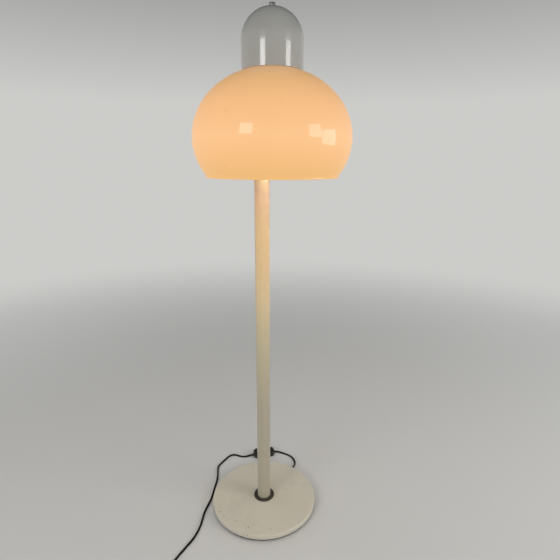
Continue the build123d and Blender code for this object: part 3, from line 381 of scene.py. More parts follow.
dulled = arithmetic(lacquer_skin, "ADD", dulled, arithmetic(lacquer_skin, "MULTIPLY", dirt, 0.4))
put_out(lacquer_skin, made, Color=mix(lacquer_skin, dirt, clouded.outputs[0], given.outputs["Dirt Color"]),
        Roughness=dulled, Height=arithmetic(lacquer_skin, "SUBTRACT", ripple.outputs["Fac"], dirt))

# Chips and specks at their own places, with the ragged outline of a knock.
mark_shape, given, made = group(
    "mark_shape",
    [("Place", "Vector", (0, 0, 0)), ("Size", "Float", 0.002)],
    [("Mask", "Float")],
)
spot = spot_on(mark_shape)
ragged = node(mark_shape, "ShaderNodeTexNoise", Vector=spot, Scale=700.0, Detail=2.0)
apart = node(mark_shape, "ShaderNodeVectorMath", operation="DISTANCE")
feed(mark_shape, apart.inputs[0], spot)
feed(mark_shape, apart.inputs[1], given.outputs["Place"])
reach = arithmetic(mark_shape, "ADD", ragged.outputs["Fac"], 0.5)
reach = arithmetic(mark_shape, "MULTIPLY", reach, given.outputs["Size"])
inside = arithmetic(mark_shape, "DIVIDE", apart.outputs["Value"], reach)
put_out(mark_shape, made, Mask=spread(mark_shape, inside, 1.1, 0.8))


def marks(tree, places):
    """Mask of marks at (x, y, z, radius) places."""
    mask = 0.0
    for x, y, z, radius in places:
        mark = placed(tree, mark_shape, Place=(x, y, z), Size=radius)
        mask = arithmetic(tree, "MAXIMUM", mark.outputs["Mask"], mask)
    return mask


CREAM = linear(0.690, 0.658, 0.582)
# The base's cream is the pole's cream painted paler: painted light for the light that falls on the base from
# above.
PAINTED_LIT_CREAM = linear(0.795, 0.770, 0.705)
DIRT = linear(0.42, 0.37, 0.28)
PRIMER = linear(0.50, 0.46, 0.38)
LACQUER_RIPPLE = 0.00002


def lacquer(name, colour, dirt, roughness=0.22, coat=0.4, chips=()):
    """A gloss lacquer on steel: coloured paint, chipped in places, under a clear skin."""
    material, tree, shader = finish(name, Coat_Weight=coat, Coat_Roughness=0.05, Coat_IOR=1.5,
                                    Specular_IOR_Level=0.2)
    skin = placed(tree, lacquer_skin, Color=colour, Dirt_Color=DIRT, Dirt=dirt, Roughness=roughness)
    chipped = mix(tree, marks(tree, chips), skin.outputs["Color"], PRIMER)
    skinned(tree, shader, skin, chipped, LACQUER_RIPPLE, coat=True)
    return material


BASE_CHIPS = [
    (-0.1161, -0.0574, 0.018, 0.0016), (-0.0718, -0.0890, 0.018, 0.0014), (-0.0526, -0.1006, 0.018, 0.0012),
    (-0.0400, -0.1112, 0.018, 0.0018), (-0.0423, -0.1334, 0.015, 0.0014), (0.0150, -0.1195, 0.018, 0.0014),
    (-0.0450, -0.1150, 0.018, 0.0008), (-0.1320, 0.0350, 0.017, 0.0013), (0.0960, 0.0840, 0.018, 0.0012),
    (0.1180, 0.0710, 0.017, 0.0016), (-0.0610, 0.1180, 0.018, 0.0011), (0.1370, -0.0220, 0.016, 0.0012),
]
BASE_COAT = 0.8
# The base cover takes the paler cream, painted light on the same lacquer as the pole.
base_lacquer = lacquer("base_lacquer", PAINTED_LIT_CREAM, 0.5, coat=BASE_COAT, chips=BASE_CHIPS)
low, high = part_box("base_cover")
base_radius, cover_bottom, cover_top = high.x, low.z, high.z
COVER_SHEET = 0.0015
COVER_EDGE = 0.003
COVER_HEM = 0.0006
outline = rounded(
    [(0, cover_top - COVER_SHEET), (base_radius - COVER_SHEET, cover_top - COVER_SHEET),
     (base_radius - COVER_SHEET, cover_bottom), (base_radius, cover_bottom), (base_radius, cover_top),
     (0, cover_top)],
    [0, COVER_EDGE - COVER_SHEET, COVER_HEM, COVER_HEM, COVER_EDGE, 0],
)
base_cover = turned("base_cover_shell", outline, loop=False, around=256)
fit(base_cover, base_lacquer, "lamp", "cream_lacquer", "base_cover")


# ---- Plinth and felt: a black moulded ring that lifts the cover, and the disc glued under it ----
# The ring keeps a dark gap between the lacquered edge and the floor. The felt is cut a little
# smaller than the ring and is the face that the lamp rests on.
def box_of(name):
    """Radius, bottom and top of a round node that stands on the pole's axis."""
    low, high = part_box(name)
    return high.x, low.z, high.z


DUST = linear(0.55, 0.53, 0.50)
moulded_skin, given, made = group(
    "moulded_skin",
    [("Color", "Color", (0.02, 0.02, 0.02, 1)), ("Grain", "Float", 900.0), ("Roughness", "Float", 0.4),
     ("Dust", "Float", 0.1)],
    [("Color", "Color"), ("Roughness", "Float"), ("Height", "Float")],
)
spot = spot_on(moulded_skin)
grain = node(moulded_skin, "ShaderNodeTexNoise", Vector=spot, Scale=given.outputs["Grain"], Detail=2.0,
             Roughness=0.6)
dull = node(moulded_skin, "ShaderNodeTexNoise", Vector=spot, Scale=40.0, Detail=4.0, Roughness=0.7)
dust = spread(moulded_skin, dull.outputs["Fac"], 0.45, 0.75)
dust = arithmetic(moulded_skin, "MULTIPLY", dust, given.outputs["Dust"])
matted = arithmetic(moulded_skin, "MULTIPLY", dull.outputs["Fac"], 0.25)
put_out(moulded_skin, made, Color=mix(moulded_skin, dust, given.outputs["Color"], DUST),
        Roughness=arithmetic(moulded_skin, "ADD", matted, given.outputs["Roughness"]),
        Height=grain.outputs["Fac"])


def moulding(name, colour, roughness=0.35, dust=0.08, grain=900.0, ripple=0.00003, **sockets):
    """A moulded plastic or rubber with a fine grain and a little dust on it."""
    material, tree, shader = finish(name, **sockets)
    skin = placed(tree, moulded_skin, Color=colour, Grain=grain, Roughness=roughness, Dust=dust)
    skinned(tree, shader, skin, skin.outputs["Color"], ripple)
    return material


black_plinth = moulding("black_plinth", linear(0.09, 0.09, 0.09), roughness=0.5, dust=0.12)
plinth_radius, plinth_bottom, plinth_top = box_of("base_plinth")
PLINTH_WIDTH = 0.020
PLINTH_EDGE = 0.0008
outline = rounded(
    [(plinth_radius - PLINTH_WIDTH, plinth_bottom), (plinth_radius, plinth_bottom),
     (plinth_radius, plinth_top), (plinth_radius - PLINTH_WIDTH, plinth_top)],
    [PLINTH_EDGE] * 4, steps=4,
)
plinth = turned("plinth_ring", outline)
fit(plinth, black_plinth, "lamp", "black_plinth", "base_plinth")

felt_black, tree, shader = finish("felt_black", Roughness=0.95, Sheen_Weight=0.4, Sheen_Roughness=0.5)
fibres = node(tree, "ShaderNodeTexNoise", Vector=spot_on(tree), Scale=1400.0, Detail=4.0, Roughness=0.75,
              Distortion=1.5).outputs["Fac"]
FELT_TONES = [(0.3, linear(0.11, 0.11, 0.11)), (0.7, linear(0.20, 0.20, 0.19))]
FELT_NAP = 0.0004
feed(tree, shader.inputs["Base Color"], ramp(tree, FELT_TONES, fibres))
bumped(tree, fibres, shader, FELT_NAP)
felt_radius, felt_bottom, felt_top = box_of("base_felt")
FELT_EDGE = 0.0003
outline = rounded(
    [(0, felt_bottom), (felt_radius, felt_bottom), (felt_radius, felt_top), (0, felt_top)],
    [0, FELT_EDGE, FELT_EDGE, 0], steps=3,
)
felt = turned("felt_disc", outline, loop=False)
fit(felt, felt_black, "lamp", "felt", "base_felt")


# ---- Weight, stud, nut, washer, plugs and screws: iron and zinc-plated steel inside the lamp ----
# These hold the base to the pole and the head to the pole. They are hidden in use and keep the
# shapes that they were made in; only their metal is finished here.
metal_skin, given, made = group(
    "metal_skin",
    [("Color", "Color", (0.6, 0.6, 0.6, 1)), ("Stain Color", "Color", (0.3, 0.3, 0.3, 1)),
     ("Scale", "Float", 60.0), ("Roughness", "Float", 0.3)],
    [("Color", "Color"), ("Roughness", "Float"), ("Height", "Float")],
)
mottle = node(metal_skin, "ShaderNodeTexNoise", Vector=spot_on(metal_skin), Scale=given.outputs["Scale"],
              Detail=5.0, Roughness=0.65).outputs["Fac"]
stained = spread(metal_skin, mottle, 0.45, 0.8)
dulled = arithmetic(metal_skin, "MULTIPLY", mottle, 0.3)
stained = mix(metal_skin, stained, given.outputs["Color"], given.outputs["Stain Color"])
dulled = arithmetic(metal_skin, "ADD", dulled, given.outputs["Roughness"])
put_out(metal_skin, made, Color=stained, Roughness=dulled, Height=mottle)


def metal(name, colour, stain, scale=60.0, roughness=0.25, ripple=0.00003):
    """A bare or plated metal with a mottled skin."""
    material, tree, shader = finish(name, Metallic=1.0)
    skin = placed(tree, metal_skin, Color=colour, Stain_Color=stain, Scale=scale, Roughness=roughness)
    skinned(tree, shader, skin, skin.outputs["Color"], ripple)
    return material


def dress(material, *names):
    """Give nodes that keep their own shape a finished material."""
    for name in names:
        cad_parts[name].material_slots[0].material = material


cast_iron = metal("cast_iron", linear(0.30, 0.29, 0.28), linear(0.16, 0.13, 0.11), 120.0, 0.5, 0.0003)
zinc_steel = metal("zinc_steel", linear(0.70, 0.71, 0.70), linear(0.55, 0.54, 0.48), 90.0, 0.28)
dress(cast_iron, "base_weight")
dress(zinc_steel, "plinth_screws", "base_washer", "base_nut", "foot_plug", "cord_clamp", "clamp_screws",
      "top_plug", "head_carrier", "carrier_screws", "cap_rod", "rod_nuts", "bridge_strap",
      "bridge_screws", "holder_nipple", "nipple_nuts", "switch_screws")


# ---- Pole: a drawn steel tube in the base's cream lacquer ----
# It rises from the foot ring to the carrier inside the shade, behind the bulb. The bulb's light
# on the side that faces it is painted light, a warm glow in the lacquer: warm under the shade and
# gone below knee height.
POLE_CHIPS = [
    (-0.0024, -0.0173, 0.648, 0.0011), (0.0110, -0.0136, 0.402, 0.0008), (-0.0150, 0.0090, 0.215, 0.0012),
    (0.0160, 0.0070, 0.530, 0.0009),
]
POLE_COAT = 0.12
POLE_PAINTED_LIGHT = [
    (0.30, (0, 0, 0, 1)), (0.434, (0.055, 0.044, 0.006, 1)), (0.514, (0.130, 0.088, 0.020, 1)),
    (0.591, (0.230, 0.136, 0.028, 1)), (0.665, (0.280, 0.138, 0.012, 1)), (0.737, (0.290, 0.140, 0.002, 1)),
    (0.806, (0.210, 0.075, 0, 1)), (0.839, (0.110, 0.008, 0, 1)), (0.878, (0, 0, 0, 1)),
]
TO_BULB = (0.451, -0.893, 0)
PAINTED_LIGHT_TURN = (-0.5, 0.35)
pole_lacquer = lacquer("pole_lacquer", CREAM, 0.35, coat=POLE_COAT, chips=POLE_CHIPS)
tree = pole_lacquer.node_tree
shader = tree.nodes["Principled BSDF"]
# Painted light: a warm emission by height, strongest on the side that faces the bulb.
feed(tree, shader.inputs["Emission Color"], ramp(tree, POLE_PAINTED_LIGHT, level_on(tree)))
facing = node(tree, "ShaderNodeVectorMath", operation="DOT_PRODUCT")
feed(tree, facing.inputs[0], node(tree, "ShaderNodeNewGeometry").outputs["Normal"])
facing.inputs[1].default_value = TO_BULB
feed(tree, shader.inputs["Emission Strength"], spread(tree, facing.outputs["Value"], *PAINTED_LIGHT_TURN))
pole_radius, pole_bottom, pole_top = box_of("pole")
POLE_WALL = 0.0015
levels = np.linspace(pole_bottom, pole_top, 24)
outline = np.concatenate([np.stack([np.full_like(levels, pole_radius), levels], -1),
                          np.stack([np.full_like(levels, pole_radius - POLE_WALL), levels[::-1]], -1)])
pole = turned("pole_tube", outline, around=96)
fit(pole, pole_lacquer, "lamp", "cream_lacquer", "pole")


# ---- Foot ring: a turned collar in dark bronze lacquer that hides the pole's joint ----
# It sits on the cover round the pole's foot, with a rounded upper edge.
ring_lacquer = lacquer("ring_lacquer", linear(0.235, 0.225, 0.19), 0.4, 0.35)
ring_radius, ring_bottom, ring_top = box_of("foot_ring")
RING_EDGE = 0.0015
RING_BORE_EDGE = 0.0005
outline = rounded(
    [(pole_radius, ring_bottom), (ring_radius, ring_bottom), (ring_radius, ring_top),
     (pole_radius, ring_top)],
    [0, 0, RING_EDGE, RING_BORE_EDGE], steps=6,
)
foot_ring = turned("foot_ring_collar", outline, around=128)
fit(foot_ring, ring_lacquer, "lamp", "dark_lacquer", "foot_ring")


# ---- Gasket: a black rubber ring between the carrier's rim and the shade's inner face ----
# The shade lies on it by its own weight, and the cap presses the shade down on it.
rubber = moulding("rubber", linear(0.12, 0.12, 0.12), roughness=0.6, dust=0.1, grain=600.0)
dress(rubber, "shade_gasket")


# ---- Lampholder: a black thermoset bell with a porcelain insert, brass shell and contact ----
# It hangs base-up from the hollow nipple, on the axis of the shade and cap.
low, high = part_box("shade")
head_x, head_y = (low.x + high.x) / 2, (low.y + high.y) / 2
head = (head_x, head_y)
phenolic = moulding("phenolic", linear(0.10, 0.09, 0.085), roughness=0.28, dust=0.15, Coat_Weight=0.3)
low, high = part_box("lampholder")
holder_radius, holder_bottom, holder_top = high.x - head_x, low.z, high.z
HOLDER_WALL = 0.0025
HOLDER_SHOULDER = 0.022
HOLDER_NECK_RADIUS = 0.009
HOLDER_NECK = 0.008
HOLDER_DEPTH = 0.034
NIPPLE_RADIUS = 0.005
HOLDER_BAND = 0.0012
HOLDER_EDGE = 0.0005
HOLDER_RIM_EDGE = 0.0008
HOLDER_BAND_EDGE = 0.0003
shoulder = holder_top - HOLDER_SHOULDER
outline = rounded(
    [(NIPPLE_RADIUS, holder_bottom + HOLDER_DEPTH),
     (holder_radius - HOLDER_WALL, holder_bottom + HOLDER_DEPTH),
     (holder_radius - HOLDER_WALL, holder_bottom), (holder_radius, holder_bottom),
     (holder_radius, shoulder - 3 * HOLDER_BAND), (holder_radius - HOLDER_BAND, shoulder - 3 * HOLDER_BAND),
     (holder_radius - HOLDER_BAND, shoulder), (HOLDER_NECK_RADIUS, holder_top - HOLDER_NECK),
     (HOLDER_NECK_RADIUS, holder_top), (NIPPLE_RADIUS, holder_top)],
    [0, HOLDER_EDGE, HOLDER_RIM_EDGE, HOLDER_BAND, HOLDER_EDGE, HOLDER_BAND_EDGE, HOLDER_WALL,
     HOLDER_WALL, HOLDER_RIM_EDGE, 0], steps=5,
)
lampholder = turned("lampholder_bell", outline, head, around=96)
fit(lampholder, phenolic, "lamp", "phenolic", "lampholder")
porcelain = moulding("porcelain", linear(0.88, 0.87, 0.83), roughness=0.15, dust=0.1, Coat_Weight=0.8)
brass = metal("brass", linear(0.86, 0.70, 0.38), linear(0.55, 0.40, 0.20), 80.0, 0.18)
dress(porcelain, "socket_insert")
dress(brass, "socket_shell", "socket_contact", "bulb_cap", "plug_pins")
dress(phenolic, "switch_block")
lead_skin = moulding("lead_skin", linear(0.10, 0.10, 0.10), roughness=0.45)
dress(lead_skin, "inner_lead")


# ---- Bulb: a frosted pear of thin glass on its brass screw cap, alight ----
# It screws up into the holder and hangs in the middle of the shade.
BULB_GLOW = 42.0
FROST_GRAIN = 0.00005
frosted_glass, tree, shader = finish("frosted_glass", Base_Color=linear(0.96, 0.93, 0.86), Roughness=0.35,
                                     Coat_Weight=0.4, IOR=1.5, Emission_Strength=BULB_GLOW)
frost = node(tree, "ShaderNodeTexNoise", Vector=spot_on(tree), Scale=700.0, Detail=3.0)
bumped(tree, frost.outputs["Fac"], shader, FROST_GRAIN)
low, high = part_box("bulb_glass")
bulb_tip, bulb_neck = low.z, high.z
BULB_RADIUS = high.x - head_x
bulb_mid = bulb_tip + BULB_RADIUS
BULB_NECK_RADIUS = 0.01255
BULB_TONES = [(0.0, (1.0, 0.80, 0.50, 1)), (0.45, (1.0, 0.86, 0.60, 1)), (1.0, (0.75, 0.50, 0.24, 1))]
tone = ramp(tree, BULB_TONES, spread(tree, level_on(tree), bulb_tip, bulb_neck))
feed(tree, shader.inputs["Emission Color"], tone)


def pear(inset):
    """Outline of the pear from its tip to its neck: a quarter circle up to the widest level, then a half
    wave of the radius, r = mean + swing cos(pi s), as s goes from 0 at that level to 1 at the neck."""
    radius, neck = BULB_RADIUS - inset, BULB_NECK_RADIUS - inset
    angle = np.linspace(-math.pi / 2, 0, 20)
    round_end = np.stack([radius * np.cos(angle), bulb_mid + radius * np.sin(angle)], -1)
    share = np.linspace(0, 1, 24)[1:]
    wave = (radius + neck) / 2 + (radius - neck) / 2 * np.cos(math.pi * share)
    return np.concatenate([round_end, np.stack([wave, bulb_mid + share * (bulb_neck - bulb_mid)], -1)])


outline = np.concatenate([pear(0), [(0, bulb_neck)]])
bulb = turned("bulb_pear", outline, head, around=96, loop=False)
fit(bulb, frosted_glass, "bulb", "frosted_glass", "bulb_glass")


# ---- Shade: a bowl of blown opal acrylic, glossy outside, lit from within ----
# It is part of an ellipsoid, open at the neck and below, with a thickened lip at the rim. The
# light in the wall is deepest near the cap and near the rim and palest round the middle.
SHADE_WALL = 0.003
SHADE_RISE = 0.141
SHADE_DROP = 0.079
SHADE_NECK = 0.056
SHADE_LIP_WIDTH = 0.0067
SHADE_LIP_HEIGHT = 0.004
SHADE_LIP_EDGE = 0.001
SHADE_INNER_EDGE = 0.0006
SHADE_LIP_STEP = 0.0004
low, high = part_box("shade")
shade_radius, shade_rim, shade_top = (high.x - low.x) / 2, low.z, high.z
shade_mid = shade_rim + SHADE_DROP


def bowl(inset, steps=72):
    """Quarter and more of an ellipse from the rim up to the neck: r = a cos t and z = c + b sin t."""
    wide, tall = shade_radius - inset, SHADE_RISE - inset
    angle = np.linspace(-math.asin(SHADE_DROP / tall), math.acos(SHADE_NECK / wide), steps)
    return np.stack([wide * np.cos(angle), shade_mid + tall * np.sin(angle)], -1)


inner_wall = bowl(SHADE_WALL)[::-1]
outer_wall = bowl(0)
lip_inner = inner_wall[-1, 0]
outer_wall = outer_wall[outer_wall[:, 1] > shade_rim + SHADE_LIP_HEIGHT + SHADE_INNER_EDGE]
lip = rounded(
    [(lip_inner, shade_rim), (lip_inner + SHADE_LIP_WIDTH, shade_rim),
     (lip_inner + SHADE_LIP_WIDTH, shade_rim + SHADE_LIP_HEIGHT),
     (outer_wall[0, 0] - SHADE_LIP_STEP, shade_rim + SHADE_LIP_HEIGHT),
     (lip_inner + SHADE_WALL / 2, shade_rim + SHADE_LIP_HEIGHT)],
    [SHADE_INNER_EDGE, SHADE_LIP_EDGE, SHADE_LIP_EDGE, 0, 0], steps=6,
)[:-1]
outline = np.concatenate([lip, outer_wall, inner_wall[:-2]])
shade = turned("shade_bowl", outline, head, around=256)

OPAL = (0.34, 0.23, 0.15, 1)
SPECK_GLOW = (0.36, 0.18, 0.06, 1)
SHADE_SPECKS = [
    (-0.0631, -0.1805, 0.9999, 0.0012), (0.0363, -0.1971, 1.0169, 0.0010),
    (-0.0654, -0.1809, 0.9191, 0.0010), (-0.0665, -0.1721, 0.9030, 0.0013),
    (-0.0681, -0.1586, 0.8863, 0.0012),
]
SHADE_GLOW = [
    (0.0, (0.60, 0.325, 0.080, 1)), (0.15, (0.65, 0.335, 0.100, 1)), (0.38, (0.70, 0.370, 0.145, 1)),
    (0.65, (0.67, 0.340, 0.125, 1)), (0.88, (0.54, 0.290, 0.095, 1)), (1.0, (0.44, 0.240, 0.105, 1)),
]
opal, tree, shader = finish("opal", Base_Color=OPAL, Roughness=0.5, Specular_IOR_Level=0.1,
                            Coat_Weight=0.4, Coat_Roughness=0.02, Coat_IOR=1.49, Emission_Strength=1.0)
glow = ramp(tree, SHADE_GLOW, spread(tree, level_on(tree), shade_rim, shade_top))
feed(tree, shader.inputs["Emission Color"], mix(tree, marks(tree, SHADE_SPECKS), glow, SPECK_GLOW))
fit(shade, opal, "lamp", "opal", "shade")


# ---- Cap: a spun steel bullet in pale lacquer that stands on the shade's crown ----
# It hides the bridge and the holder's nipple, and the finial's nut pulls it down. Its lacquer has
# faded greyer than the base's.
CAP_COAT = 1.0
cap_lacquer = lacquer("cap_lacquer", linear(0.645, 0.642, 0.622), 0.2, 0.16, coat=CAP_COAT)
low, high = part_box("cap")
cap_radius, cap_rim, cap_land = (high.x - low.x) / 2, low.z, high.z
CAP_WALL = 0.0015
CAP_SIDE = 0.056
CAP_DOME = 0.062
CAP_HOLE = 0.0033
CAP_LAND_RADIUS = 0.006
CAP_HEM = 0.003
CAP_HEM_EDGE = 0.0006
CAP_SIDE_START = 0.0008
CAP_LAND_EDGE = 0.0005
dome_base = cap_rim + CAP_SIDE


def bullet(inset):
    """Side and dome from the rim to the land: an upright line, then r = a cos t and z = c + b sin t."""
    wide, tall = cap_radius - inset, CAP_DOME - inset
    angle = np.linspace(0, math.acos(CAP_LAND_RADIUS / wide), 40)
    dome = np.stack([wide * np.cos(angle), dome_base + tall * np.sin(angle)], -1)
    side = np.stack([np.full(6, wide), np.linspace(cap_rim + CAP_SIDE_START, dome_base, 6)], -1)[:-1]
    return np.concatenate([side, dome])


hem = rounded(
    [(cap_radius - CAP_WALL, cap_rim), (cap_radius, cap_rim), (cap_radius, cap_rim + CAP_HEM),
     (cap_radius - CAP_WALL, cap_rim + CAP_HEM)],
    [CAP_HEM_EDGE, CAP_HEM_EDGE, 0, 0], steps=4,
)[:-2]
land_edge = CAP_LAND_RADIUS - CAP_LAND_EDGE
land = np.array([(land_edge, cap_land), (CAP_HOLE, cap_land), (CAP_HOLE, cap_land - CAP_WALL),
                 (land_edge, cap_land - CAP_WALL)])
outline = np.concatenate([hem, bullet(0), land, bullet(CAP_WALL)[::-1]])
cap = turned("cap_bullet", outline, head, around=192)
fit(cap, cap_lacquer, "lamp", "cream_lacquer", "cap")


# ---- Finial: a small grooved chrome nut on a washer ----
# It screws on the rod's end and pulls the cap down. Its sides are cut with upright grooves.
chrome = metal("chrome", linear(0.70, 0.71, 0.73), linear(0.42, 0.42, 0.43), 500.0, 0.06, 0.000005)
low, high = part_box("cap_washer")
washer_bottom, washer_top = low.z, high.z
WASHER_RADIUS = 0.0058
WASHER_EDGE = 0.0003
WASHER_LOWER_EDGE = 0.0002
ROD_RADIUS = 0.003
outline = rounded(
    [(ROD_RADIUS, washer_bottom), (WASHER_RADIUS, washer_bottom), (WASHER_RADIUS, washer_top),
     (ROD_RADIUS, washer_top)],
    [0, WASHER_LOWER_EDGE, WASHER_EDGE, 0], steps=4,
)
washer = turned("finial_washer", outline, head, around=64)
fit(washer, chrome, "lamp", "chrome", "cap_washer")

low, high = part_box("finial_nut")
finial_radius, finial_bottom, finial_top = (high.y - low.y) / 2, low.z, high.z
FINIAL_GROOVES = 18
FINIAL_GROOVE_DEPTH = 0.0008
FINIAL_EDGE = 0.0016
FINIAL_LOWER_EDGE = 0.0003
FINIAL_AROUND = FINIAL_GROOVES * 12
FINIAL_FLAT = 0.8
FINIAL_GROOVE_START = 0.78
FINIAL_GROOVE_FADE = 0.18
outline = rounded(
    [(0, finial_bottom), (finial_radius, finial_bottom), (finial_radius, finial_top), (0, finial_top)],
    [0, FINIAL_LOWER_EDGE, FINIAL_EDGE, 0], steps=6,
)
outline = np.insert(outline, 1, (finial_radius * FINIAL_FLAT, finial_bottom), 0)
angle = np.linspace(0, 2 * math.pi, FINIAL_AROUND, endpoint=False)
radius = outline[:, :1]
cut = np.clip(np.cos(FINIAL_GROOVES * angle) * 1.6 - 0.6, 0, 1) * FINIAL_GROOVE_DEPTH
rim_share = np.clip((radius / finial_radius - FINIAL_GROOVE_START) / FINIAL_GROOVE_FADE, 0, 1)
grooved = radius - rim_share * cut
grid = np.stack([head_x + grooved * np.cos(angle), head_y + grooved * np.sin(angle),
                 np.broadcast_to(outline[:, 1:], grooved.shape)], -1)
finial = surface("finial_grooved", grid, sharp=50)
fit(finial, chrome, "finial", "chrome", "finial_nut")


# ---- Strain relief: a ribbed rubber bush that grips the cord where it leaves the base ----
# Its square end sits in the plinth's slot under the cover's edge, and its tail tapers to the cord.
EXIT_ANGLE = math.radians(54.9)
BUSH_ROOT = 0.1176
BUSH_LENGTH = 0.0175
BUSH_RIBS = 5
BUSH_GROOVE = 0.0009
BUSH_WIDTH = (0.0093, 0.0056)
BUSH_HEIGHT = (0.0047, 0.0055)
BUSH_LEVEL = (0.0035, 0.0028)
BUSH_SQUARENESS = (5.0, 2.2)


def sleeve(name, centres, wide, tall, power, around=36):
    """
    Closed tube of rounded-square rings on a level line.

    Ring j is the superellipse round centre j. Its point at angle a lies
    w / 2 sgn(cos a) |cos a| ** (2 / n) across the line and h / 2 sgn(sin a) |sin a| ** (2 / n) up.
    A point at each end closes the tube.
    """
    ahead = (centres[-1] - centres[0]) * (1, 1, 0)
    ahead /= np.linalg.norm(ahead)
    across = np.cross((0, 0, 1.0), ahead)
    angle = np.linspace(0, 2 * math.pi, around, endpoint=False)
    power = 2 / power[:, None]
    x = wide[:, None] / 2 * np.sign(np.cos(angle)) * np.abs(np.cos(angle)) ** power
    y = tall[:, None] / 2 * np.sign(np.sin(angle)) * np.abs(np.sin(angle)) ** power
    grid = centres[:, None] + x[..., None] * across + y[..., None] * np.array((0, 0, 1.0))
    first, last = centres[:1, None].repeat(around, 1), centres[-1:, None].repeat(around, 1)
    return surface(name, np.concatenate([first, grid, last]), sharp=40)


def ribs(share, count):
    """Depth, from 0 to 1, of the grooves between ribs at shares of a ribbed length: a clipped cosine."""
    return np.clip(-1.6 * np.cos(2 * math.pi * count * share) - 0.6, 0, 1)


def taper(start, end, share):
    """A size that goes evenly from its start to its end."""
    return start + (end - start) * share


black_rubber = moulding("black_rubber", linear(0.085, 0.085, 0.085), roughness=0.5, dust=0.12, grain=700.0)
outward = np.array([math.cos(EXIT_ANGLE), math.sin(EXIT_ANGLE), 0])
reach = np.concatenate([[BUSH_ROOT], np.linspace(plinth_radius, plinth_radius + BUSH_LENGTH, 81)])
tail = np.clip((reach - plinth_radius) / BUSH_LENGTH, 0, 1)
centres = reach[:, None] * outward
centres[:, 2] = taper(*BUSH_LEVEL, tail)
groove = BUSH_GROOVE * ribs(tail, BUSH_RIBS)
bush = sleeve("cord_relief", centres, taper(*BUSH_WIDTH, tail) - groove, taper(*BUSH_HEIGHT, tail) - groove,
              taper(*BUSH_SQUARENESS, tail))
fit(bush, black_rubber, "lamp", "cord_skin", "cord_bush")


# ---- Cord: black flat two-core flex, from the base to the foot switch and on to the plug ----
# It is limp PVC flex that lies in loose curves and stands up on its edge where it is bent or
# twisted. The spare length is wound in a coil of six turns, held by a tie.
CORD_WIDE = 0.0055
CORD_THIN = 0.0034
CORD_FLAT = CORD_THIN / 2
CORD_EDGE = CORD_WIDE / 2
CORD_WEB = 0.22
CORD_WEB_WIDTH = 0.25
COIL_X, COIL_Y = -0.200, -0.268
COIL_RADIUS = 0.031
COIL_BOTTOM = 0.001
COIL_TURNS = 6.25
COIL_TURN_POINTS = 16
COIL_STEP = 0.7
COIL_TILT = 0.55
PORT_REACH = 0.034
PORT_SETTLE = 0.020
low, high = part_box("switch_button")
switch_x, switch_y = (low.x + high.x) / 2, (low.y + high.y) / 2


def route(name, points):
    """Points along a smooth NURBS line of order 3 whose control points are the route's points."""
    data = bpy.data.curves.new(name, "CURVE")
    data.dimensions = "3D"
    data.resolution_u = 8
    spline = data.splines.new("NURBS")
    spline.points.add(len(points) - 1)
    spline.points.foreach_set("co", [value for point in points for value in (*point, 1.0)])
    spline.order_u = 3
    spline.use_endpoint_u = True
    carrier = bpy.data.objects.new(name, data)
    line = bpy.data.meshes.new_from_object(carrier)
    path = np.empty(len(line.vertices) * 3)
    line.vertices.foreach_get("co", path)
    bpy.data.objects.remove(carrier)
    bpy.data.curves.remove(data)
    bpy.data.meshes.remove(line)
    return path.reshape(-1, 3)


def swept(name, path, x, y, lay):
    """
    Closed outline of points (x, y) carried along a path.

    With t along the path, s = t x z level across it and n = s x t, the outline's point is
    c + x s' + y n', where s' and n' are s and n turned by the lay. A point at each end closes it.
    """
    along = np.gradient(path, axis=0)
    along /= np.linalg.norm(along, axis=1, keepdims=True)
    side = np.cross(along, (0, 0, 1.0))
    side /= np.linalg.norm(side, axis=1, keepdims=True)
    normal = np.cross(side, along)
    lay = lay[:, None]
    across = side * np.cos(lay) + normal * np.sin(lay)
    upright = normal * np.cos(lay) - side * np.sin(lay)
    grid = path[:, None] + across[:, None] * x[None, :, None] + upright[:, None] * y[None, :, None]
    first, last = path[None, :1].repeat(len(x), 1), path[None, -1:].repeat(len(x), 1)
    return surface(name, np.concatenate([first, grid, last]), sharp=50)


def two_core():
    """
    Outline of the flex, two round cores side by side: x = r cos a and the cores' offset, clipped
    between its two sides, and y = r sin a, drawn in to the web by a bell curve of cos a.
    """
    angle = np.linspace(0, 2 * math.pi, 24, endpoint=False)
    across, core = np.cos(angle), CORD_THIN / 2
    x = (CORD_WIDE / 2 - core) * np.clip(3 * across, -1, 1) + core * across
    return x, core * np.sin(angle) * (1 - CORD_WEB * np.exp(-(across / CORD_WEB_WIDTH) ** 2))


def lying(path):
    """
    The cord's lay from its height: the arc sine of the height's share between flat, with its centre
    half its thickness up, and on edge, half its width up. It turns flat again at the switch's ports,
    and leans in the coil.
    """
    share = np.clip((path[:, 2] - CORD_FLAT) / (CORD_EDGE - CORD_FLAT), 0, 1)
    apart = np.hypot(path[:, 0] - switch_x, path[:, 1] - switch_y)
    lay = np.arcsin(share) * np.clip((apart - PORT_REACH) / PORT_SETTLE, 0, 1)
    return np.where(path[:, 1] < COIL_Y + 2 * COIL_RADIUS, COIL_TILT * lay, lay)


cord_skin = moulding("cord_skin", linear(0.035, 0.035, 0.035), roughness=0.40, dust=0.02, grain=1200.0,
                     Coat_Weight=0.05, Specular_IOR_Level=0.25)
cord_x, cord_y = two_core()
switch_path = route("switch_route", [
    (0.08913, 0.12681, 0.0028), (0.09344, 0.13295, 0.0027), (0.09650, 0.14200, 0.0025),
    (0.09700, 0.15250, 0.0021), (0.09450, 0.16550, 0.0019), (0.08850, 0.17750, 0.0018),
    (0.07850, 0.18750, 0.0018), (0.06600, 0.19450, 0.0019), (0.05350, 0.20000, 0.0028),
    (0.04075, 0.20332, 0.0050), (0.01527, 0.19837, 0.0050),
])
switch_cord = swept("switch_cord", switch_path, cord_x, cord_y, lying(switch_path))
fit(switch_cord, cord_skin, "lamp", "cord_skin", "cord_to_switch")

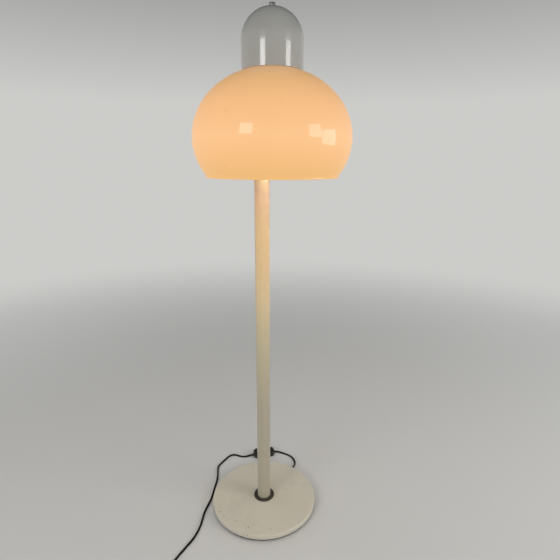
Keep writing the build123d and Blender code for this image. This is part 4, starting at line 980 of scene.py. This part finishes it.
inner, middle, outer = COIL_RADIUS - CORD_WIDE, COIL_RADIUS, COIL_RADIUS + CORD_WIDE
lower, upper = COIL_BOTTOM + CORD_EDGE, COIL_BOTTOM + 3 * CORD_EDGE
coil_turns = [(outer, lower), (middle, lower), (inner, lower), (inner, upper), (middle, upper),
              (outer, upper), (outer, upper)]
coil_points = []
for step in range(int(COIL_TURNS * COIL_TURN_POINTS)):
    turn, share = divmod(step / COIL_TURN_POINTS, 1)
    move = max(share - COIL_STEP, 0) / (1 - COIL_STEP)
    here, there = coil_turns[int(turn)], coil_turns[min(int(turn) + 1, 6)]
    radius, level = taper(here[0], there[0], move), taper(here[1], there[1], move)
    angle = math.pi + 2 * math.pi * step / COIL_TURN_POINTS
    coil_points.append((COIL_X + radius * math.cos(angle), COIL_Y + radius * math.sin(angle), level))
main_path = route("main_route", [
    (-0.01427, 0.19263, 0.0050), (-0.03975, 0.18768, 0.0050), (-0.05000, 0.18480, 0.0032),
    (-0.06200, 0.18340, 0.0019), (-0.07500, 0.18600, 0.0018), (-0.08450, 0.19150, 0.0019),
    (-0.09500, 0.19450, 0.0023), (-0.10550, 0.19100, 0.0026), (-0.11350, 0.18300, 0.0023),
    (-0.12400, 0.16800, 0.0019), (-0.13300, 0.15350, 0.0018), (-0.13980, 0.14300, 0.0020),
    (-0.14060, 0.13100, 0.0023), (-0.14000, 0.11800, 0.0025), (-0.13800, 0.10300, 0.0025),
    (-0.13850, 0.07700, 0.0022), (-0.14250, 0.04900, 0.0018), (-0.14500, 0.01900, 0.0018),
    (-0.15150, -0.01000, 0.0018), (-0.16050, -0.04000, 0.0018), (-0.16250, -0.06800, 0.0022),
    (-0.16600, -0.09600, 0.0026), (-0.17600, -0.12500, 0.0022), (-0.19000, -0.14800, 0.0018),
    (-0.20500, -0.17300, 0.0018), (-0.21800, -0.19900, 0.0018), (-0.23100, -0.22800, 0.0024),
    (-0.23650, -0.25600, 0.00375),
    *coil_points,
    (-0.20600, -0.30350, 0.00925), (-0.19500, -0.30450, 0.00845), (-0.18600, -0.30450, 0.00685),
    (-0.17200, -0.30450, 0.00685),
])
main_cord = swept("main_cord", main_path, cord_x, cord_y, lying(main_path))
fit(main_cord, cord_skin, "lamp", "cord_skin", "cord_to_coil", "cord_coil", "cord_to_plug")


# ---- Tie: a plastic-coated wire band round the coil's turns, its ends twisted together ----
# It holds the six turns at the side that faces the base.
low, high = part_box("coil_tie")
TIE_SHEET = 0.0008
TIE_EDGE = 0.0002
TIE_CORNER = 0.0028
TIE_TWIST = 0.013
TIE_TWIST_TURNS = 3.5
TIE_WIRE = 0.0006
TIE_DROOP = 0.003
black_plastic = moulding("black_plastic", linear(0.070, 0.070, 0.070), roughness=0.32, dust=0.08,
                         grain=1500.0, ripple=0.00002, Coat_Weight=0.15)


def tablet(length, width, corner):
    """
    Ring round a rectangle with round corners: a quarter circle of nine points at each corner, and
    the straight run to the next corner in seven parts.
    """
    reach = np.array([(1, 1), (-1, 1), (-1, -1), (1, -1)]) * (length / 2 - corner, width / 2 - corner)
    angle = (np.arange(4)[:, None] + np.linspace(0, 1, 9)) * math.pi / 2
    arcs = reach[:, None] + corner * np.stack([np.cos(angle), np.sin(angle)], -1)
    share = np.linspace(0, 1, 8)[1:-1, None]
    runs = arcs[:, -1:] * (1 - share) + np.roll(arcs, -1, 0)[:, :1] * share
    return np.concatenate([arcs, runs], 1).reshape(-1, 2)


def wire(name, path, radius):
    """A round wire along a path."""
    angle = np.linspace(0, 2 * math.pi, 10, endpoint=False)
    return swept(name, path, radius * np.cos(angle), radius * np.sin(angle), np.zeros(len(path)))


tie_centre = ((low.x + high.x) / 2, (low.z + high.z) / 2)
tie_rows = []
for inset, y in ((TIE_SHEET, high.y), (TIE_EDGE, high.y), (0, high.y - TIE_EDGE), (0, low.y + TIE_EDGE),
                 (TIE_EDGE, low.y), (TIE_SHEET, low.y)):
    ring = tablet(high.x - low.x - 2 * inset, high.z - low.z - 2 * inset, TIE_CORNER - inset) + tie_centre
    tie_rows.append(np.stack([ring[:, 0], np.full(len(ring), y), ring[:, 1]], -1))
tie = surface("coil_band", np.array(tie_rows), loop=True)
fit(tie, black_plastic, "lamp", "black_plastic", "coil_tie")

share = np.linspace(0, 1, 90)
tie_ends = []
for phase in (0, math.pi):
    twist = 2 * math.pi * TIE_TWIST_TURNS * share + phase
    path = np.stack([high.x - TIE_SHEET + TIE_TWIST * share, (low.y + high.y) / 2 + TIE_WIRE * np.cos(twist),
                     tie_centre[1] + TIE_WIRE * np.sin(twist) - TIE_DROOP * share ** 2], -1)
    end = wire(f"tie_end_{len(tie_ends)}", path, TIE_WIRE)
    fit(end, black_plastic, "lamp", "black_plastic")
    tie_ends.append(end)


# ---- Plug: a flat two-pin plug moulded on the cord's end ----
# The body is pressed from soft PVC with a seam round its middle and a sunk panel to grip. The
# tail is ribbed so that it bends, and black sleeves cover the roots of the pins.
low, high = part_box("plug_body")
PLUG_TAIL = 0.020
PLUG_REAR_WIDTH = 0.016
PLUG_SHOULDER = 0.016
PLUG_CORNER = 0.003
PLUG_EDGE = 0.0015
PLUG_SEAM = 0.0003
PLUG_LEAST_CORNER = 0.0008
PLUG_PANEL = 0.0055
PLUG_PANEL_DEPTH = 0.0007
PLUG_TAIL_RIBS = 6
PLUG_TAIL_GROOVE = 0.0011
PLUG_TAIL_WIDTH = (0.0056, 0.0098)
PLUG_TAIL_HEIGHT = (0.0055, 0.0079)
PLUG_TAIL_SQUARENESS = (2.2, 3.4)
PIN_PITCH = 0.0186
PIN_SLEEVE_LENGTH = 0.010
PIN_SLEEVE_WIDTH = 0.0042
PIN_SLEEVE_ROOT = 0.0005
body_x, pin_x, plug_y = low.x + PLUG_TAIL, high.x, (low.y + high.y) / 2
plug_half, plug_top = (high.y - low.y) / 2, high.z


def narrowed(corners, inset):
    """Polygon with each side moved in: a corner moves along the sum of its two sides' inward normals,
    divided by one plus their dot product."""
    sides = np.roll(corners, -1, 0) - corners
    inward = np.stack([-sides[:, 1], sides[:, 0]], -1) / np.linalg.norm(sides, axis=1, keepdims=True)
    before = np.roll(inward, 1, 0)
    return corners + inset * (before + inward) / (1 + (before * inward).sum(1, keepdims=True))


plug_outline = np.array([
    (body_x, plug_y - PLUG_REAR_WIDTH / 2), (body_x + PLUG_SHOULDER, plug_y - plug_half),
    (pin_x, plug_y - plug_half), (pin_x, plug_y + plug_half),
    (body_x + PLUG_SHOULDER, plug_y + plug_half), (body_x, plug_y + PLUG_REAR_WIDTH / 2),
])
turns = np.linspace(0, math.pi / 2, 7)
edge = PLUG_EDGE * np.stack([1 - np.sin(turns), 1 - np.cos(turns)], -1)
seam = [(0, plug_top / 2 - PLUG_SEAM), (PLUG_SEAM, plug_top / 2), (0, plug_top / 2 + PLUG_SEAM)]
upper_edge = edge[::-1] * (1, -1) + (0, plug_top)
panel = [(PLUG_PANEL, plug_top), (PLUG_PANEL + PLUG_PANEL_DEPTH / 2, plug_top - PLUG_PANEL_DEPTH)]
profile = np.concatenate([edge, seam, upper_edge, panel])
rows = []
for inset, level in profile:
    corner = max(PLUG_CORNER - inset, PLUG_LEAST_CORNER)
    ring = rounded(narrowed(plug_outline, inset), [corner] * 6, steps=6)
    rows.append(np.column_stack([ring, np.full(len(ring), level)]))
rows = [rows[0] * 0 + rows[0].mean(0), *rows, rows[-1] * 0 + rows[-1].mean(0)]
plug_shell = surface("plug_shell", np.array(rows))
fit(plug_shell, black_plastic, "lamp", "black_plastic", "plug_body")

share = np.linspace(0, 1, 91)
groove = PLUG_TAIL_GROOVE * ribs(share, PLUG_TAIL_RIBS)
tail_x = low.x + (PLUG_TAIL + PLUG_EDGE) * share
centres = np.stack([tail_x, plug_y + 0 * share, plug_top / 2 + 0 * share], -1)
plug_tail = sleeve("plug_tail", centres, taper(*PLUG_TAIL_WIDTH, share) - groove,
                   taper(*PLUG_TAIL_HEIGHT, share) - groove, taper(*PLUG_TAIL_SQUARENESS, share))
fit(plug_tail, black_plastic, "lamp", "black_plastic")

pin_sleeves = []
for side in (-1, 1):
    share = np.array([0, 0.01, 0.95, 1.0])
    centres = np.stack([pin_x - PIN_SLEEVE_ROOT + PIN_SLEEVE_LENGTH * share,
                        plug_y + side * PIN_PITCH / 2 + 0 * share, plug_top / 2 + 0 * share], -1)
    wide = PIN_SLEEVE_WIDTH * np.array([1, 1, 1, 0.97])
    pin_sleeve = sleeve(f"pin_sleeve_{len(pin_sleeves)}", centres, wide, wide, 2.0 + 0 * share)
    fit(pin_sleeve, black_plastic, "lamp", "black_plastic")
    pin_sleeves.append(pin_sleeve)


# ---- Foot switch: a black moulded case with round corners, pressed with the foot ----
# The housing sits on a slightly smaller base plate, held by two screws from below. A collar at
# each end grips the cord, and the round button stands in a sunk ring in the top.
SWITCH_TURN = math.radians(11.0)
SWITCH_LENGTH = 0.066
SWITCH_WIDTH = 0.035
SWITCH_CORNER = 0.013
SWITCH_EDGE = 0.0035
SWITCH_HEM = 0.0003
SWITCH_WALL = 0.002
SWITCH_HOLE = 0.0113
SWITCH_RING = 0.0142
SWITCH_RING_DEPTH = 0.0006
SWITCH_RING_EDGE = 0.0002
SWITCH_PORT_LEVEL = 0.005
COLLAR_OUT = 0.0055
COLLAR_RIBS = 2
COLLAR_PLAIN = 0.4
COLLAR_GROOVE = 0.0007
COLLAR_WIDTH = (0.0086, 0.0070)
COLLAR_HEIGHT = (0.0078, 0.0060)
COLLAR_SQUARENESS = (3.0, 2.4)
low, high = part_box("switch_housing")
housing_bottom, housing_top = low.z, high.z


def on_switch(points, level):
    """Points of the switch's own plane, turned by the switch's turn and moved to its place, at a level."""
    x = switch_x + points[:, 0] * math.cos(SWITCH_TURN) - points[:, 1] * math.sin(SWITCH_TURN)
    y = switch_y + points[:, 0] * math.sin(SWITCH_TURN) + points[:, 1] * math.cos(SWITCH_TURN)
    return np.stack([x, y, np.full(len(points), level)], -1)


def case(inset):
    """The case's rounded outline, moved in by an inset."""
    return tablet(SWITCH_LENGTH - 2 * inset, SWITCH_WIDTH - 2 * inset, SWITCH_CORNER - inset)


def hole(radius):
    """Circle whose points lie in the directions of the outline's points."""
    ring = case(0)
    return radius * ring / np.linalg.norm(ring, axis=1, keepdims=True)


turns = np.linspace(0, math.pi / 2, 9)
ceiling, ring_level = housing_top - SWITCH_WALL, housing_top - SWITCH_RING_DEPTH
rings = [(case(SWITCH_WALL), housing_bottom), (case(SWITCH_HEM), housing_bottom),
         (case(0), housing_bottom + SWITCH_HEM)]
rings += [(case(SWITCH_EDGE * (1 - math.cos(turn))), housing_top - SWITCH_EDGE * (1 - math.sin(turn)))
          for turn in turns]
rings += [
    (hole(SWITCH_RING + SWITCH_HEM), housing_top), (hole(SWITCH_RING), housing_top - SWITCH_RING_EDGE),
    (hole(SWITCH_RING - SWITCH_RING_EDGE), ring_level), (hole(SWITCH_HOLE + SWITCH_HEM), ring_level),
    (hole(SWITCH_HOLE), ring_level - SWITCH_HEM), (hole(SWITCH_HOLE), ceiling),
    (case(SWITCH_WALL), ceiling),
]
housing = surface("switch_case", np.array([on_switch(ring, level) for ring, level in rings]), loop=True)
fit(housing, black_plastic, "lamp", "black_plastic", "switch_housing")
dress(black_plastic, "switch_base")

collars = []
for side in (-1, 1):
    share = np.linspace(0, 1, 41)
    line = side * (SWITCH_LENGTH / 2 - SWITCH_WALL + (SWITCH_WALL + COLLAR_OUT) * share)
    centres = on_switch(np.stack([line, 0 * line], -1), SWITCH_PORT_LEVEL)
    groove = COLLAR_GROOVE * ribs(np.clip(share * (1 + COLLAR_PLAIN) - COLLAR_PLAIN, 0, 1), COLLAR_RIBS)
    collar = sleeve(f"switch_collar_{len(collars)}", centres, taper(*COLLAR_WIDTH, share) - groove,
                    taper(*COLLAR_HEIGHT, share) - groove, taper(*COLLAR_SQUARENESS, share))
    fit(collar, black_plastic, "lamp", "black_plastic")
    collars.append(collar)


# ---- Button: a round moulded push button, dished for the sole, on a spring over the contacts ----
# A flange under the case's top keeps it in. Three fine rings in the dish keep the foot from slipping.
low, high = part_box("switch_button")
button_bottom, button_top, flange_radius = low.z, high.z, (high.x - low.x) / 2
BUTTON_RADIUS = 0.011
BUTTON_FLANGE = 0.0016
BUTTON_POCKET_RADIUS = 0.0065
BUTTON_WALL = 0.002
BUTTON_EDGE = 0.0012
BUTTON_DISH = 0.0008
BUTTON_RIBS = 3
BUTTON_RIB_HEIGHT = 0.00025
BUTTON_HEM = 0.0003
BUTTON_FOOT = 0.0002
outline = rounded(
    [(0, button_top - BUTTON_WALL), (BUTTON_POCKET_RADIUS, button_top - BUTTON_WALL),
     (BUTTON_POCKET_RADIUS, button_bottom), (flange_radius, button_bottom),
     (flange_radius, button_bottom + BUTTON_FLANGE), (BUTTON_RADIUS, button_bottom + BUTTON_FLANGE),
     (BUTTON_RADIUS, button_top), (BUTTON_RADIUS - 2 * BUTTON_EDGE, button_top)],
    [0, *[BUTTON_HEM] * 4, BUTTON_FOOT, BUTTON_EDGE, 0], steps=6,
)
share = np.linspace(1, 0, 70)
dish = (button_top - BUTTON_DISH * (1 - share ** 2)
        + BUTTON_RIB_HEIGHT * np.clip(-2 * np.cos(2 * math.pi * BUTTON_RIBS * share) - 1, 0, 1))
dish = np.stack([(BUTTON_RADIUS - 2 * BUTTON_EDGE) * share, dish], -1)[1:]
button = turned("switch_push", np.concatenate([outline, dish]), (switch_x, switch_y), around=96, loop=False)
fit(button, black_plastic, "button", "black_plastic", "switch_button")


# ---- Spring: a coil of zinc-plated wire between the contact block and the button's pocket ----
# Its lower end stands on the block and the button presses its upper end down. The coil is
# drawn at rest and is not attached to a body.
low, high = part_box("switch_spring")
SPRING_RADIUS = 0.004
SPRING_WIRE = 0.0004
SPRING_TURNS = 5
share = np.linspace(0, 1, 24 * SPRING_TURNS + 1)
angle = 2 * math.pi * SPRING_TURNS * share
path = np.stack([switch_x + SPRING_RADIUS * np.cos(angle), switch_y + SPRING_RADIUS * np.sin(angle),
                 low.z + SPRING_WIRE + (high.z - low.z - 2 * SPRING_WIRE) * share], -1)
spring = wire("button_spring", path, SPRING_WIRE)
spring.data.materials.append(zinc_steel)
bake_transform(spring)
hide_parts("switch_spring")
